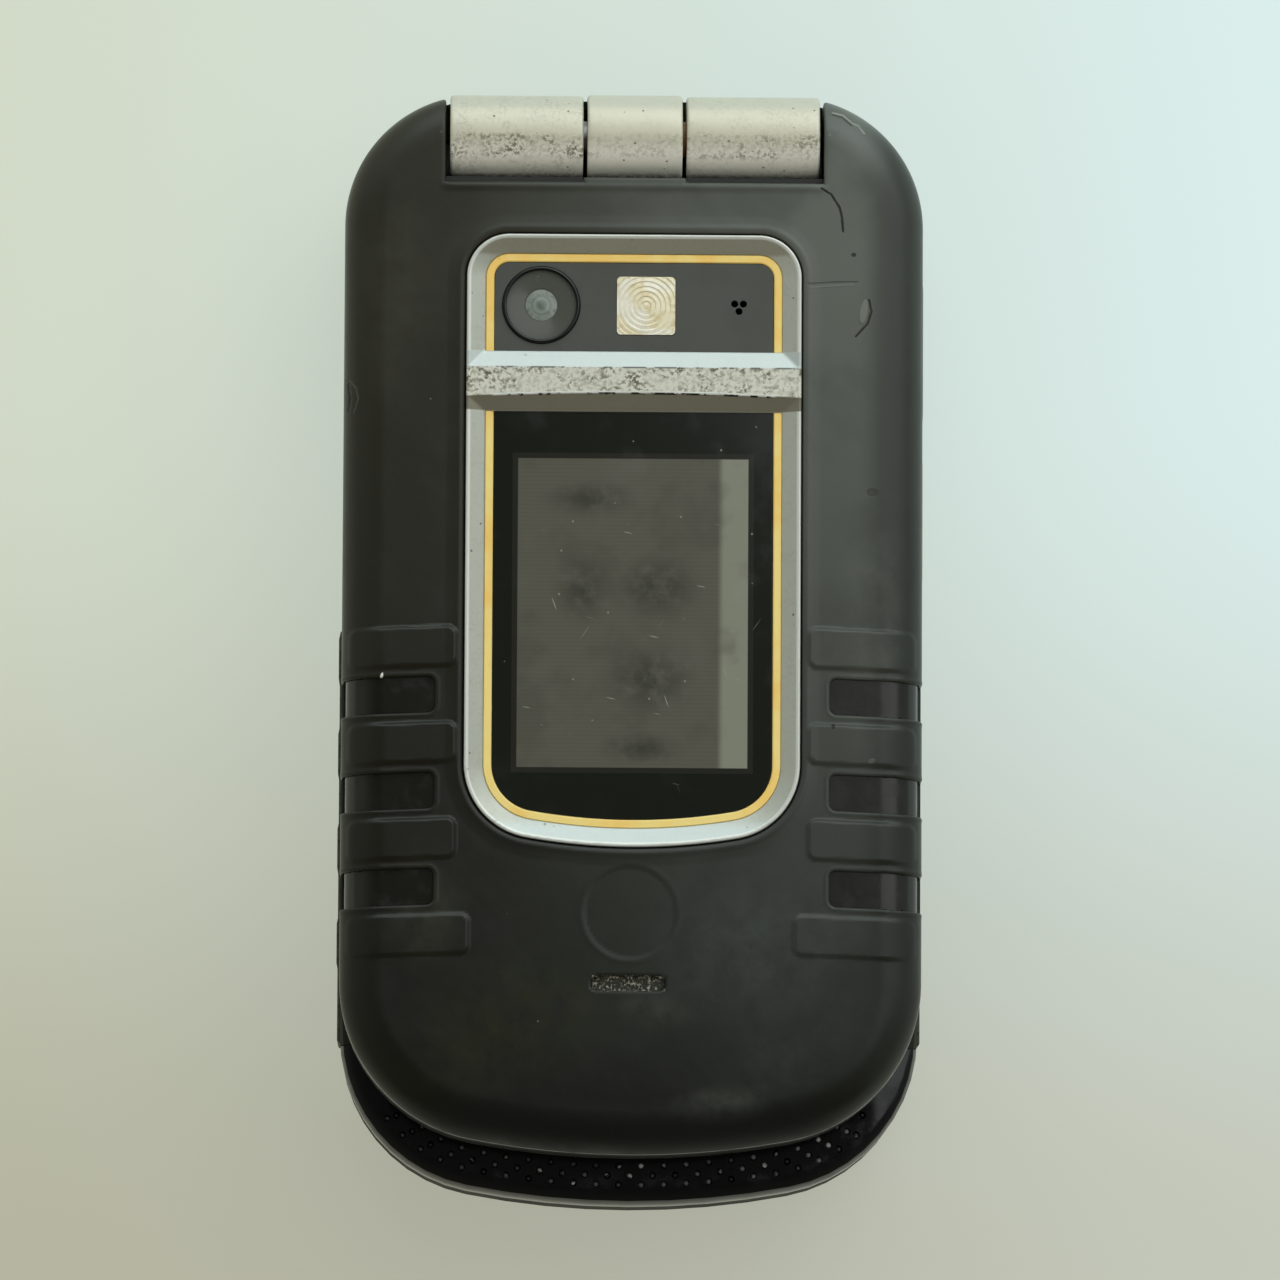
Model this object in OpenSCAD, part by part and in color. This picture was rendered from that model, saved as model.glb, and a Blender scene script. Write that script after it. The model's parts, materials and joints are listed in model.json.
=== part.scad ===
// Rugged clamshell (flip) phone, closed and lying on its back, in millimetres.
// +Z is up, +Y points to the hinge end and +X to the right of somebody who looks down on the lid.
// The origin is on the surface the phone lies on, below the middle of the whole phone.

/* [Overall] */
// Length of the phone over its hinge and its chin
phone_length = 93.2; // [92:0.2:98]
// Width of the phone over its side grips
phone_width = 49.4; // [48.6:0.2:53]
// Height of the base, from the table to its upper rim
base_height = 13; // [12.8:0.1:14.5]
// Thickness of the lid without its hinge knuckles
lid_height = 9.6; // [9.5:0.1:11]
// Gap between the closed lid and the base
lid_gap = 0.4; // [0.35:0.05:0.6]

/* [Lid] */
// Distance from the chin end back to the lid's free end
chin_length = 3.75; // [3.5:0.05:5.4]
// Radius of the two shoulders at the hinge end, seen from above
shoulder_radius = 11.2; // [8:0.1:12]
// Radius of the lid's two free corners, seen from above
lid_corner_radius = 13.5; // [10:0.25:14]
// Width of the rolled edge round the lid's top
lid_edge_width = 3.6; // [2.8:0.1:4.2]
// Depth of the rolled edge round the lid's top
lid_edge_depth = 3; // [2.2:0.1:3.6]
// Thickness of the rubber skin over the lid's hard shell
skin_thickness = 1.2; // [1:0.05:1.4]
// Height of the lid's inner cover
inner_cover_height = 2.3; // [2.1:0.05:2.4]
// Wall thickness of the lid's two shells
lid_wall = 1.2; // [1:0.05:1.4]

/* [Base] */
// Radius of the base's two corners at the chin, seen from above
chin_corner_radius = 13.2; // [12.6:0.1:15]
// Radius of the slight bow across the free ends of the lid and the base
end_bow_radius = 72.5; // [65:0.5:95]
// Wall thickness of the base's two shells
base_wall = 1.6; // [1.3:0.05:1.8]
// Height of the joint between the rear and the front shell
base_split = 8; // [7.9:0.05:8.3]
// Thickness of the perforated chin panel
chin_panel_thickness = 0.9; // [0.7:0.05:1.1]
// Diameter of the holes in the chin panel
chin_hole_d = 0.6; // [0.4:0.05:0.8]
// Distance between neighbouring chin holes in a row
chin_hole_pitch = 1.9; // [1.7:0.1:2.6]

/* [Hinge] */
// Diameter of the base's middle knuckle
centre_knuckle_d = 7.4; // [7.3:0.1:8]
// Diameter of the lid's two knuckle sleeves
side_knuckle_d = 7.2; // [6.8:0.1:7.3]
// Width of the middle knuckle
centre_knuckle_width = 8; // [7:0.2:9]
// Width of each knuckle sleeve
side_knuckle_width = 11.2; // [10.4:0.2:12]
// Side gap between the knuckles
knuckle_gap = 0.35; // [0.25:0.05:0.5]
// Bore of the sleeves and the middle knuckle
hinge_bore_d = 5.6; // [5.4:0.1:5.8]
// Diameter of the hinge shaft where it turns in the cam can
hinge_shaft_d = 3; // [2.4:0.1:3.2]
// Angle at which the open lid comes to its stop
open_angle = 160; // [150:1:165]

/* [Front window] */
// Width of the metal window frame
bezel_width = 28.1; // [26:0.1:29]
// Length of the metal window frame
bezel_length = 51.6; // [50:0.2:53]
// Distance from the hinge axis to the top of the window frame
bezel_from_hinge = 8.6; // [7.4:0.1:9.2]
// Radius of the frame's upper corners
bezel_top_radius = 3.6; // [3.2:0.1:4.5]
// Radius of the frame's lower corners
bezel_end_radius = 6.3; // [5.5:0.1:7]
// Radius of the bow across the frame's lower side
bezel_bow_radius = 52; // [45:1:80]
// Width of the frame's sloping band
bezel_band = 1.6; // [1.4:0.05:1.8]
// Height of the frame above the lid's top
bezel_proud = 0.1; // [0:0.05:0.2]
// Depth to which the band slopes down at the windows
bezel_slope = 0.65; // [0.45:0.05:0.7]
// Width of the yellow trim ring
trim_band = 0.7; // [0.6:0.05:0.8]
// Width of the crossbar between the two windows
crossbar_width = 5; // [4.4:0.1:5.6]
// Distance from the top of the frame to the crossbar
crossbar_from_top = 9.9; // [9.8:0.1:10.6]
// Width of the flat crest of the crossbar
crossbar_crest = 2.3; // [2:0.1:3]
// Thickness of the two windows
window_thickness = 1; // [0.9:0.05:1.1]
// Width of the outer display's picture
outer_picture_width = 19.3; // [17:0.1:20]
// Length of the outer display's picture
outer_picture_length = 26; // [24:0.2:28]

/* [Camera and flash] */
// Diameter of the raised ring round the camera
camera_ring_d = 6.5; // [6:0.1:6.8]
// Wall of the camera ring
camera_ring_wall = 0.4; // [0.3:0.05:0.5]
// Distance of the camera to the left of the middle
camera_offset = 7.8; // [7.5:0.1:7.8]
// Side of the square flash lens
flash_size = 5; // [4.6:0.1:5.2]
// Distance of the flash to the right of the middle
flash_offset = 1; // [0.9:0.1:1.6]
// Distance of the microphone holes to the right of the middle
mic_offset = 8.8; // [8.2:0.1:9.4]
// Diameter of each microphone hole
mic_hole_d = 0.6; // [0.5:0.05:0.8]

/* [Grip] */
// Distance between neighbouring grip windows
grip_pitch = 8.05; // [7.6:0.05:8.6]
// Number of grip windows on each side
grip_windows = 3; // [2:1:3]
// Height of each grip window, along the phone
grip_window_height = 3.05; // [2.6:0.05:3.3]
// Distance from the middle line to the inner end of the grip windows
grip_window_start = 16.5; // [16.3:0.1:17.5]
// Distance from the hinge axis down to the first grip window
grip_window_first = 47.4; // [46.4:0.1:48.2]
// Height of each raised grip pad, along the phone
grip_pad_height = 3.3; // [2.8:0.05:3.4]
// Distance from the middle line to the inner end of the grip pads
grip_pad_start = 14.75; // [14.6:0.05:15.4]
// Height by which the grip pads stand out
grip_pad_proud = 0.3; // [0.2:0.05:0.4]
// Depth of the grip windows in the skin
grip_window_depth = 0.75; // [0.5:0.05:0.9]
// Height by which the ribs of the base's grips stand out
grip_rib_proud = 0.1; // [0.1:0.05:0.3]
// Height by which the base's grips stand out
grip_proud = 0.25; // [0.2:0.05:0.5]

/* [Badge seat and vent] */
// Diameter of the round badge seat
badge_d = 7.7; // [7:0.1:8.4]
// Distance from the window frame down to the middle of the badge seat
badge_from_bezel = 5.5; // [5:0.1:6]
// Depth of the badge seat
badge_depth = 0.25; // [0.15:0.05:0.4]
// Width of the vent slot below the badge seat
vent_width = 6.2; // [5:0.1:7]
// Height of the vent slot
vent_height = 1; // [0.8:0.1:1.2]
// Distance between the badge seat's middle and the vent slot
vent_from_badge = 5.9; // [5.6:0.1:6.4]

/* [Inner face] */
// Width of the main display window
inner_window_width = 35; // [33:0.5:36]
// Length of the main display window
inner_window_length = 45; // [43:0.5:46]
// Distance of the display window's middle above the phone's middle
inner_window_shift = 3; // [2:0.25:4]
// Thickness of the main display window
inner_window_thickness = 0.8; // [0.7:0.05:0.9]
// Width of the main display's picture
picture_width = 30.6; // [28:0.2:31]
// Length of the main display's picture
picture_length = 38.2; // [36:0.2:39]
// Width of the earpiece slot
earpiece_width = 9; // [7:0.2:10]
// Height of the earpiece slot
earpiece_height = 1.8; // [1.4:0.1:2.2]

/* [Keypad] */
// Width of a number key
key_width = 12.2; // [11:0.1:12.4]
// Height of a number key, along the phone
key_height = 7; // [6:0.1:7.2]
// Distance between the columns of number keys
key_pitch_x = 13.2; // [13:0.1:13.4]
// Distance between the rows of number keys
key_pitch_y = 8.6; // [8.4:0.1:8.8]
// Distance of the top row of number keys above the phone's middle
key_top_row = 4.2; // [4:0.1:4.4]
// Travel of every key on the keypad
key_travel = 0.4; // [0.3:0.05:0.45]
// Gap round every key
key_gap = 0.2; // [0.15:0.05:0.3]
// Height of the keys above the keypad deck
key_proud = 0.45; // [0.35:0.05:0.5]
// Depth of the keypad deck below the rim of the base
deck_recess = 0.6; // [0.55:0.05:0.7]
// Thickness of the keypad deck
deck_thickness = 1; // [0.8:0.05:1.2]
// Width of the keys beside the navigation ring
side_key_width = 8.6; // [8:0.1:9]
// Height of the two soft keys, along the phone
soft_key_height = 4.8; // [4:0.1:5.2]
// Height of the send and end keys, along the phone
call_key_height = 5.4; // [4.4:0.1:5.6]
// Distance of the soft keys above the navigation ring's middle
soft_key_up = 6; // [5.5:0.1:6.5]
// Distance of the send and end keys below the navigation ring's middle
call_key_down = 6.5; // [6.1:0.1:6.8]
// Outer diameter of the navigation ring
nav_ring_d = 17; // [16:0.2:17.4]
// Diameter of the select key
select_key_d = 7.6; // [7:0.2:8]
// Distance of the navigation ring above the phone's middle
nav_y = 20.5; // [20.2:0.1:21]

/* [Battery] */
// Width of the battery pack
battery_width = 34; // [32:0.5:34.5]
// Length of the battery pack
battery_length = 47; // [44:0.5:48]
// Thickness of the battery pack
battery_thickness = 4.9; // [4.4:0.05:5]
// Thickness of the battery cover
battery_cover_thickness = 1.2; // [1:0.05:1.3]
// Height of the battery cover above the table
battery_cover_lift = 0.25; // [0.15:0.05:0.3]
// Travel of the battery latch
latch_travel = 1.5; // [1:0.1:2]

/* [Side keys and port] */
// Distance from the hinge end to the middle of the volume rocker
volume_from_rear = 20.2; // [19.4:0.1:21]
// Distance between the middles of the volume rocker and the talk key
talk_from_volume = 14.5; // [13.6:0.1:15]
// Length of the volume rocker
volume_length = 12; // [11:0.2:12.4]
// Length of the talk key
talk_length = 11; // [10:0.2:11.4]
// Height of the side keys
side_key_height = 3.6; // [3:0.1:3.8]
// Travel of the talk key, and the height by which both side keys stand out
talk_travel = 0.5; // [0.3:0.05:0.6]
// Distance from the hinge end to the middle of the port cover
port_from_rear = 16.8; // [16:0.1:17.6]
// Length of the port cover
port_length = 10.4; // [10:0.2:10.8]
// Height of the port cover
port_height = 4.6; // [4.2:0.1:4.8]

/* [Hidden] */
$fn = 48;
// Clearance round pieces that are fitted in a seat, and of a running fit
fit = 0.05;
// Extra depth of a cut, so that it runs clear of the face it opens
through = 1;

// Overall places
y_rear = phone_length / 2;
y_chin = -phone_length / 2;
y_lid_end = y_chin + chin_length;
z_lid = base_height + lid_gap;
z_top = z_lid + lid_height;
lid_split = z_lid + inner_cover_height;

// Hinge: the axis runs along X, and the sleeves stand just proud of the lid's top
knuckle_above_lid = 0.1;
side_knuckle_r = side_knuckle_d / 2;
centre_knuckle_r = centre_knuckle_d / 2;
y_hinge = y_rear - centre_knuckle_r;
z_hinge = z_top + knuckle_above_lid - side_knuckle_r;
centre_half = centre_knuckle_width / 2;
sleeve_start = centre_half + knuckle_gap;
sleeve_end = sleeve_start + side_knuckle_width;
sleeve_cap = 0.5;
bore_r = hinge_bore_d / 2;
y_notch = y_hinge - centre_knuckle_r - knuckle_gap;
sleeve_lip_gap = 0.55;
centre_lip_gap = 0.06;
bush_reach = 5;
flex_roll_r = 1.5;
stop_gap = 0.1;

// Plans are [width, rear end, free end, rear radius, free radius, bow radius].
// The lid is flush with the base at its sides and at the hinge end, where both follow the sleeves.
y_shoulder = y_hinge + side_knuckle_r;
body_width = phone_width - 2 * grip_proud - 2 * grip_rib_proud;
side_half = body_width / 2;
lid_plan = [body_width, y_shoulder, y_lid_end, shoulder_radius, lid_corner_radius, end_bow_radius];
base_plan = [body_width, y_shoulder, y_chin, shoulder_radius, chin_corner_radius, end_bow_radius];
corner_steps = 10;
bow_steps = 8;
bezel_top = y_hinge - bezel_from_hinge;
bezel_plan = [
    bezel_width, bezel_top, bezel_top - bezel_length, bezel_top_radius, bezel_end_radius, bezel_bow_radius];

// Levels in the lid
z_shell_top = z_top - skin_thickness;
z_crest = z_top + bezel_proud;
z_band_low = z_crest - bezel_slope;
window_recess = 0.15;
z_window_top = z_band_low - window_recess;
z_window_seat = z_window_top - window_thickness;
plate_thickness = 0.8;
z_plate = z_window_seat - plate_thickness;
cover_floor = 1.4;
z_cover_floor = z_lid + cover_floor;
inner_display_thickness = 1.9;
z_lid_board = z_cover_floor + inner_display_thickness;
lid_board_thickness = 0.8;
lid_board_margin = 6.7;
lid_board_end_gap = 3;
z_lid_board_top = z_lid_board + lid_board_thickness;
y_cavity_end = y_notch - lid_wall;
bezel_gap = 0.12;
window_inset = bezel_band + trim_band;

// Levels in the base
z_deck = base_height - deck_recess;
z_deck_low = z_deck - deck_thickness;
z_key_top = z_deck + key_proud;
board_thickness = 1;
z_board = base_split + 0.2;
z_board_top = z_board + board_thickness;
key_flange = 0.5;
key_lap = 0.15;
z_key_flange = z_deck_low - key_flange;
mat_gap = 0.15;
z_mat_top = z_key_flange - key_travel - mat_gap;
z_battery = battery_cover_lift + battery_cover_thickness + 0.15;
z_bay_roof = z_battery + battery_thickness + 0.1;
bay_roof = 0.8;
base_edge_width = 2.4;
base_edge_depth = 2.2;
rim_edge = 0.9;

// Crossbar, camera panel and windows
y_crossbar = bezel_top - crossbar_from_top - crossbar_width / 2;
camera_shift = 0.15;
picture_shift = 0.2;
y_camera = (bezel_top - window_inset + y_crossbar + crossbar_width / 2) / 2 + camera_shift;
y_display = (bezel_top - bezel_length + window_inset + y_crossbar - crossbar_width / 2) / 2 + picture_shift;
outer_picture = [outer_picture_width, outer_picture_length];
outer_glass_margin = 1.2;
outer_opening_margin = 0.5;
outer_display_thickness = 2;
mic_spread = 0.42;
flash_corner = 0.35;
flash_rings = 5;
flash_ring_pitch = 0.42;

// Grips, badge seat and vent
y_grip = y_hinge - grip_window_first;
grip_window_length = side_half - grip_window_start + 1;
grip_window_drop = 2.2;
grip_pad_end = side_half - 1.1;
grip_corner = 0.6;
grip_pad_rows = grip_windows + 1;
y_badge = bezel_top - bezel_length - badge_from_bezel;
y_vent = y_badge - vent_from_badge;
vent_depth = 0.7;

// Side grips of the base
grip_seat = 0.6;
grip_z = [2.6, 11.2];
grip_rows = 5;
grip_flank = 0.5;
grip_end_margin = [0.4, 0.25];
grip_y = [
    y_chin + chin_corner_radius + grip_end_margin[0],
    y_grip + grip_pitch / 2 + grip_pad_height / 2 + grip_flank + grip_end_margin[1]];

// Inner face of the lid
inner_window_size = [inner_window_width, inner_window_length];
inner_window_corner = 2;
picture_size = [picture_width, picture_length];
y_inner = inner_window_shift;
picture_margin = 0.5;
display_margin = 2;
inner_display_size = [picture_width + 2 * display_margin, picture_length + 2 * display_margin];
earpiece_from_window = 6.5;
y_earpiece = y_inner - inner_window_length / 2 - earpiece_from_window;
earpiece_margin = [1.5, 2.2];
earpiece_thickness = 2.6;
end_bumper = [7.9, 7.5, 1.3];
rear_bumper = [2, 9.8, 0.9];
bumper_at = [
    [side_half - end_bumper[0], y_lid_end + end_bumper[1], end_bumper[2]],
    [side_half - rear_bumper[0], y_hinge - rear_bumper[1], rear_bumper[2]]];
bumper_seat = 0.25;
bumper_gap = 0.05;

// Battery bay, cover and latch
y_battery = -2;
bay_gap = 0.2;
bay_wall = 1.2;
bay_half = [battery_width / 2 + bay_gap, battery_length / 2 + bay_gap];
cover_lap = 0.9;
cover_corner = 3;
cover_gap = 0.15;
cover_size = [2 * (bay_half[0] + cover_lap), 2 * (bay_half[1] + cover_lap)];
latch_size = [11, 5];
latch_flange = 1;
latch_gap = 0.15;
y_latch = y_battery + battery_length / 2 - 7;

// Keypad
key_corner = 1.4;
key_crown = 20;
key_rows = 4;
soft_key_size = [side_key_width, soft_key_height];
call_key_size = [side_key_width, call_key_height];
nav_corner_gap = 2.1;
side_column_x = nav_ring_d / 2 + nav_corner_gap + side_key_width / 2;
soft_key_y = nav_y + soft_key_up;
call_key_y = nav_y - call_key_down;
deck_margin = [0.9, 3.1];
deck_half_x = max(key_pitch_x + key_width / 2, side_column_x + side_key_width / 2) + deck_margin[0];
deck_y = [key_top_row - (key_rows - 1) * key_pitch_y - key_height / 2 - deck_margin[1],
    soft_key_y + soft_key_height / 2 + 2 * deck_margin[1] + 0.7];
deck_corner = 3;
nav_tilt = 2;
nav_flange_r = nav_ring_d / 2 + key_gap + key_lap;
nav_flange = 0.4;
z_nav_flange = z_deck_low - nav_flange_r * sin(nav_tilt) - 0.05 - nav_flange;
nav_dish_r = nav_flange_r + 0.5;
nav_dish = 0.3;

y_talk_mic = deck_y[0] - 2.8;

// Side keys and port
z_side_key = base_split - 0.6;
y_volume = y_shoulder - volume_from_rear;
y_talk = y_volume - talk_from_volume;
side_key_gap = 0.2;
side_flange = [0.6, 0.6];
volume_play = 0.35;
talk_play = 0.05;
side_key_proud = talk_travel;
y_port = y_shoulder - port_from_rear;
z_port = 5.2;
port_plate = 1.1;
port_gap = 0.12;
connector_gap = 0.5;
connector_size = [side_half - port_plate - fit - bay_half[0] - bay_wall - connector_gap, 7.5, 2.9];
connector_wall = 0.3;
connector_back = 1;
plug_length = 5.4;
plug_depth = 0.36 * (connector_size[0] - connector_back);
plug_height = 1.7;

// Boards, motor and speaker
board_margin = 3.5;
board_half_x = side_half - board_margin;
board_from_chin = 16.6;
board_from_rear = 11.8;
board_y = [y_chin + board_from_chin, y_shoulder - board_from_rear];
board_post_r = 1.4;
board_post_at = [
    [bay_half[0], y_battery + bay_half[1] + bay_wall + 2.6],
    [bay_half[0], y_battery - bay_half[1] - bay_wall - 1.5]];
mat_margin = 0.5;
mat_half_x = board_half_x - mat_margin;
mat_y = [deck_y[0] + 0.8, deck_y[1] - 5.2];
motor_r = 2;
motor_length = 7;
motor_shaft_r = 0.4;
motor_at = [-3.5, y_battery + bay_half[1] + bay_wall + 6.6];
weight_r = 1.9;
weight_length = 2.4;
z_motor = base_wall + motor_r + 0.3;
speaker_size = [15, 8.4, 2.6];
y_speaker = y_chin + 10;

// Chin panel: a crescent between the outline of the base and the end of the lid, with a skirt that
// wraps the end of the front shell down to the joint with the rear shell
panel_under_lid = 1.2;
chin_skirt = 0.7;
y_panel_end = y_chin + chin_corner_radius;
chin_rows = [1.62, 2.38, 3.22];
chin_hole_turn = 41;
z_panel = base_height - chin_panel_thickness;
sound_inset = [chin_rows[0] - chin_hole_d / 2 - 0.05, chin_rows[2] + chin_hole_d / 2 + 0.3];
sound_half = 16;

// Fasteners
screw_from_side = 8.7;
screw_from_rear = 8.2;
screw_from_chin = 13;
base_screw_at = [
    [side_half - screw_from_side, y_shoulder - screw_from_rear],
    [side_half - screw_from_side, y_chin + screw_from_chin]];
lid_screw_from_side = 4.3;
lid_screw_from_rear = 17.7;
lid_end_screw_from_side = 5.7;
lid_screw_from_end = 11.5;
lid_screw_at = [
    [side_half - lid_screw_from_side, y_shoulder - lid_screw_from_rear],
    [side_half - lid_end_screw_from_side, y_lid_end + lid_screw_from_end]];
base_screw_length = 10;
lid_screw_length = 5.4;
screw_head_r = 1.5;
screw_head = 1;
screw_shank_r = 0.75;
screw_sink = 0.6;
boss_r = 2;

digit_keys = ["key_1", "key_2", "key_3", "key_4", "key_5", "key_6", "key_7", "key_8", "key_9", "key_star",
    "key_0", "key_hash"];

// ---------------------------------------------------------------- outlines and helpers

// Points of an arc, with skip points left out at both of its ends
function arc(cx, cy, r, from, to, steps, skip = 0) = [for (i = [skip : steps - skip])
    let (a = from + (to - from) * i / steps) [cx + r * cos(a), cy + r * sin(a)]];

// Outline of a plan, set in by a distance all round: straight sides, two rear corners and a bowed free end
function outline(plan, inset = 0) = let (
    half = plan[0] / 2 - inset,
    rear = plan[1] - inset,
    free = plan[2] + inset,
    rear_r = plan[3] - inset,
    free_r = plan[4] - inset,
    bow_r = plan[5] - inset,
    corner_x = half - free_r,
    turn = asin(corner_x / (bow_r - free_r)),
    corner_y = free + bow_r - (bow_r - free_r) * cos(turn))
    concat(
        arc(half - rear_r, rear - rear_r, rear_r, 0, 90, corner_steps),
        arc(rear_r - half, rear - rear_r, rear_r, 90, 180, corner_steps),
        arc(-corner_x, corner_y, free_r, 180, 270 - turn, corner_steps),
        arc(0, free + bow_r, bow_r, 270 - turn, 270 + turn, bow_steps, 1),
        arc(corner_x, corner_y, free_r, 270 + turn, 360, corner_steps));

// Rectangle with round corners about a centre
function round_rect(size, r, at = [0, 0]) = let (x = size[0] / 2 - r, y = size[1] / 2 - r)
    concat(
        arc(at[0] + x, at[1] + y, r, 0, 90, 4),
        arc(at[0] - x, at[1] + y, r, 90, 180, 4),
        arc(at[0] - x, at[1] - y, r, 180, 270, 4),
        arc(at[0] + x, at[1] - y, r, 270, 360, 4));

// A size made larger by a margin all round
function grown(size, margin) = [size[0] + 2 * margin, size[1] + 2 * margin];

// Solid between two heights with one outline
module slab(points, z0, z1) {
    translate([0, 0, z0]) linear_extrude(z1 - z0) polygon(points);
}

// Solid through a list of [height, outline] sections, all with the same number of points
module loft(sections) {
    n = len(sections[0][1]);
    m = len(sections);
    polyhedron(
        points = [for (s = sections) for (p = s[1]) [p[0], p[1], s[0]]],
        faces = concat(
            [[for (i = [0 : n - 1]) i]],
            [[for (i = [n - 1 : -1 : 0]) (m - 1) * n + i]],
            [for (k = [0 : m - 2]) for (i = [0 : n - 1]) let (j = (i + 1) % n)
                [k * n + i, (k + 1) * n + i, (k + 1) * n + j, k * n + j]]),
        convexity = 6);
}

// Extrudes a profile drawn in [y, z] along X
module along_x(x0, x1) {
    translate([x0, 0, 0]) rotate([90, 0, 90]) linear_extrude(x1 - x0) children();
}

// Round bar along X about the hinge axis
module hinge_bar(r, x0, x1) {
    translate([x0, y_hinge, z_hinge]) rotate([0, 90, 0]) cylinder(r = r, h = x1 - x0);
}

// Round bar along Z
module post(r, at, z0, z1) {
    translate([at[0], at[1], z0]) cylinder(r = r, h = z1 - z0);
}

// The children and their mirror image on the other side of the phone
module both_sides() {
    children();
    mirror([1, 0, 0]) children();
}

// A box between two corners
module block(low, high) {
    translate(low) cube(high - low);
}

// ---------------------------------------------------------------- shared shapes of the lid

// Sections of the lid's outside, moved outwards by grow, from a low level up over the rolled edge
edge_steps = 5;
function lid_sections(grow, low) = concat(
    [[low, outline(lid_plan, -grow)]],
    [for (i = [0 : edge_steps]) let (a = 90 * i / edge_steps)
        [z_top - lid_edge_depth + (lid_edge_depth + grow) * sin(a),
            outline(lid_plan, lid_edge_width - (lid_edge_width + grow) * cos(a))]]);

// What the shoulders lose behind the hinge axis, so that they turn about it
module rear_trim(r) {
    difference() {
        block([-phone_width, y_hinge, z_lid - through], [phone_width, y_rear + through, z_top + through]);
        hinge_bar(r, -phone_width - through, phone_width + through);
    }
}

// Room for the three knuckles in the lid, with a gap round the sleeves and one to the lip in front
module knuckle_room(gap, lip_gap) {
    far = sleeve_end + knuckle_gap;
    hinge_bar(side_knuckle_r + gap, -far, far);
    hinge_bar(centre_knuckle_r + knuckle_gap, -sleeve_start, sleeve_start);
    both_sides() block([sleeve_start, y_hinge - side_knuckle_r - lip_gap, z_hinge],
        [far, y_rear + through, z_top + through]);
    block([-sleeve_start, y_hinge - centre_knuckle_r - centre_lip_gap, z_hinge],
        [sleeve_start, y_rear + through, z_top + through]);
    block([-far, y_hinge, z_lid - through], [far, y_rear + through, z_hinge + through]);
    block([-sleeve_start, y_notch, z_lid - through], [sleeve_start, y_rear + through, z_hinge]);
}

// Envelope of the hard front shell, under the rubber skin
module shell_envelope(low) {
    difference() {
        loft(lid_sections(-skin_thickness, low));
        rear_trim(side_knuckle_r - skin_thickness);
    }
}

// Prisms of the grip windows
module grip_window_prisms() {
    both_sides() for (k = [0 : grip_windows - 1])
        slab(round_rect([grip_window_length, grip_window_height], grip_corner,
                [grip_window_start + grip_window_length / 2, y_grip - k * grip_pitch]),
            z_top - lid_edge_depth - grip_window_drop, z_top + through);
}

// Prisms of the raised grip pads, one on each side of every grip window
module grip_pad_prisms() {
    length = grip_pad_end - grip_pad_start;
    both_sides() for (k = [0 : grip_pad_rows - 1])
        slab(round_rect([length, grip_pad_height], grip_corner,
                [grip_pad_start + length / 2, y_grip + (0.5 - k) * grip_pitch]),
            z_top - lid_edge_depth, z_top + through);
}

// ---------------------------------------------------------------- lid

module lid_rubber_skin() {
    color([0.17, 0.17, 0.15]) difference() {
        union() {
            loft(lid_sections(0, lid_split));
            intersection() {
                grip_pad_prisms();
                loft(lid_sections(grip_pad_proud, z_top - lid_edge_depth - through));
            }
        }
        shell_envelope(lid_split - through);
        rear_trim(side_knuckle_r);
        knuckle_room(bezel_gap, sleeve_lip_gap);
        grip_window_prisms();
        slab(outline(bezel_plan, -bezel_gap), z_shell_top - through, z_top + through);
        post(badge_d / 2, [0, y_badge], z_top - badge_depth, z_top + through);
        slab(round_rect([vent_width, vent_height], vent_height / 2 - 0.01, [0, y_vent]), z_top - vent_depth,
            z_top + through);
    }
}

module grip_inserts() {
    color([0.1, 0.1, 0.09]) difference() {
        intersection() {
            loft(lid_sections(-grip_window_depth, lid_split));
            grip_window_prisms();
        }
        shell_envelope(lid_split - through);
    }
}

module lid_front_shell() {
    inside = skin_thickness + lid_wall;
    color([0.15, 0.15, 0.14]) difference() {
        union() {
            difference() {
                shell_envelope(lid_split);
                intersection() {
                    slab(outline(lid_plan, inside), lid_split - through, z_plate);
                    block([-body_width, y_lid_end, 0], [body_width, y_cavity_end, z_top]);
                }
            }
            both_sides() for (at = lid_screw_at) post(boss_r, at, lid_split, z_plate + plate_thickness);
        }
        slab(outline(bezel_plan, -fit), z_window_seat, z_top);
        knuckle_room(0, 0);
        slab(round_rect(grown(outer_picture, outer_opening_margin), outer_opening_margin, [0, y_display]),
            z_plate - through, z_window_seat + through);
        post(camera_ring_d / 2 - camera_ring_wall - 0.5, [-camera_offset, y_camera], z_plate - through,
            z_window_seat + through);
        slab(round_rect([flash_size - 1.4, flash_size - 1.4], flash_corner, [flash_offset, y_camera]),
            z_plate - through, z_window_seat + through);
        post(3 * mic_spread, [mic_offset, y_camera], z_plate - through, z_window_seat + through);
        both_sides() for (at = lid_screw_at) post(screw_shank_r, at, lid_split - through, z_plate - 0.5);
    }
}

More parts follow.
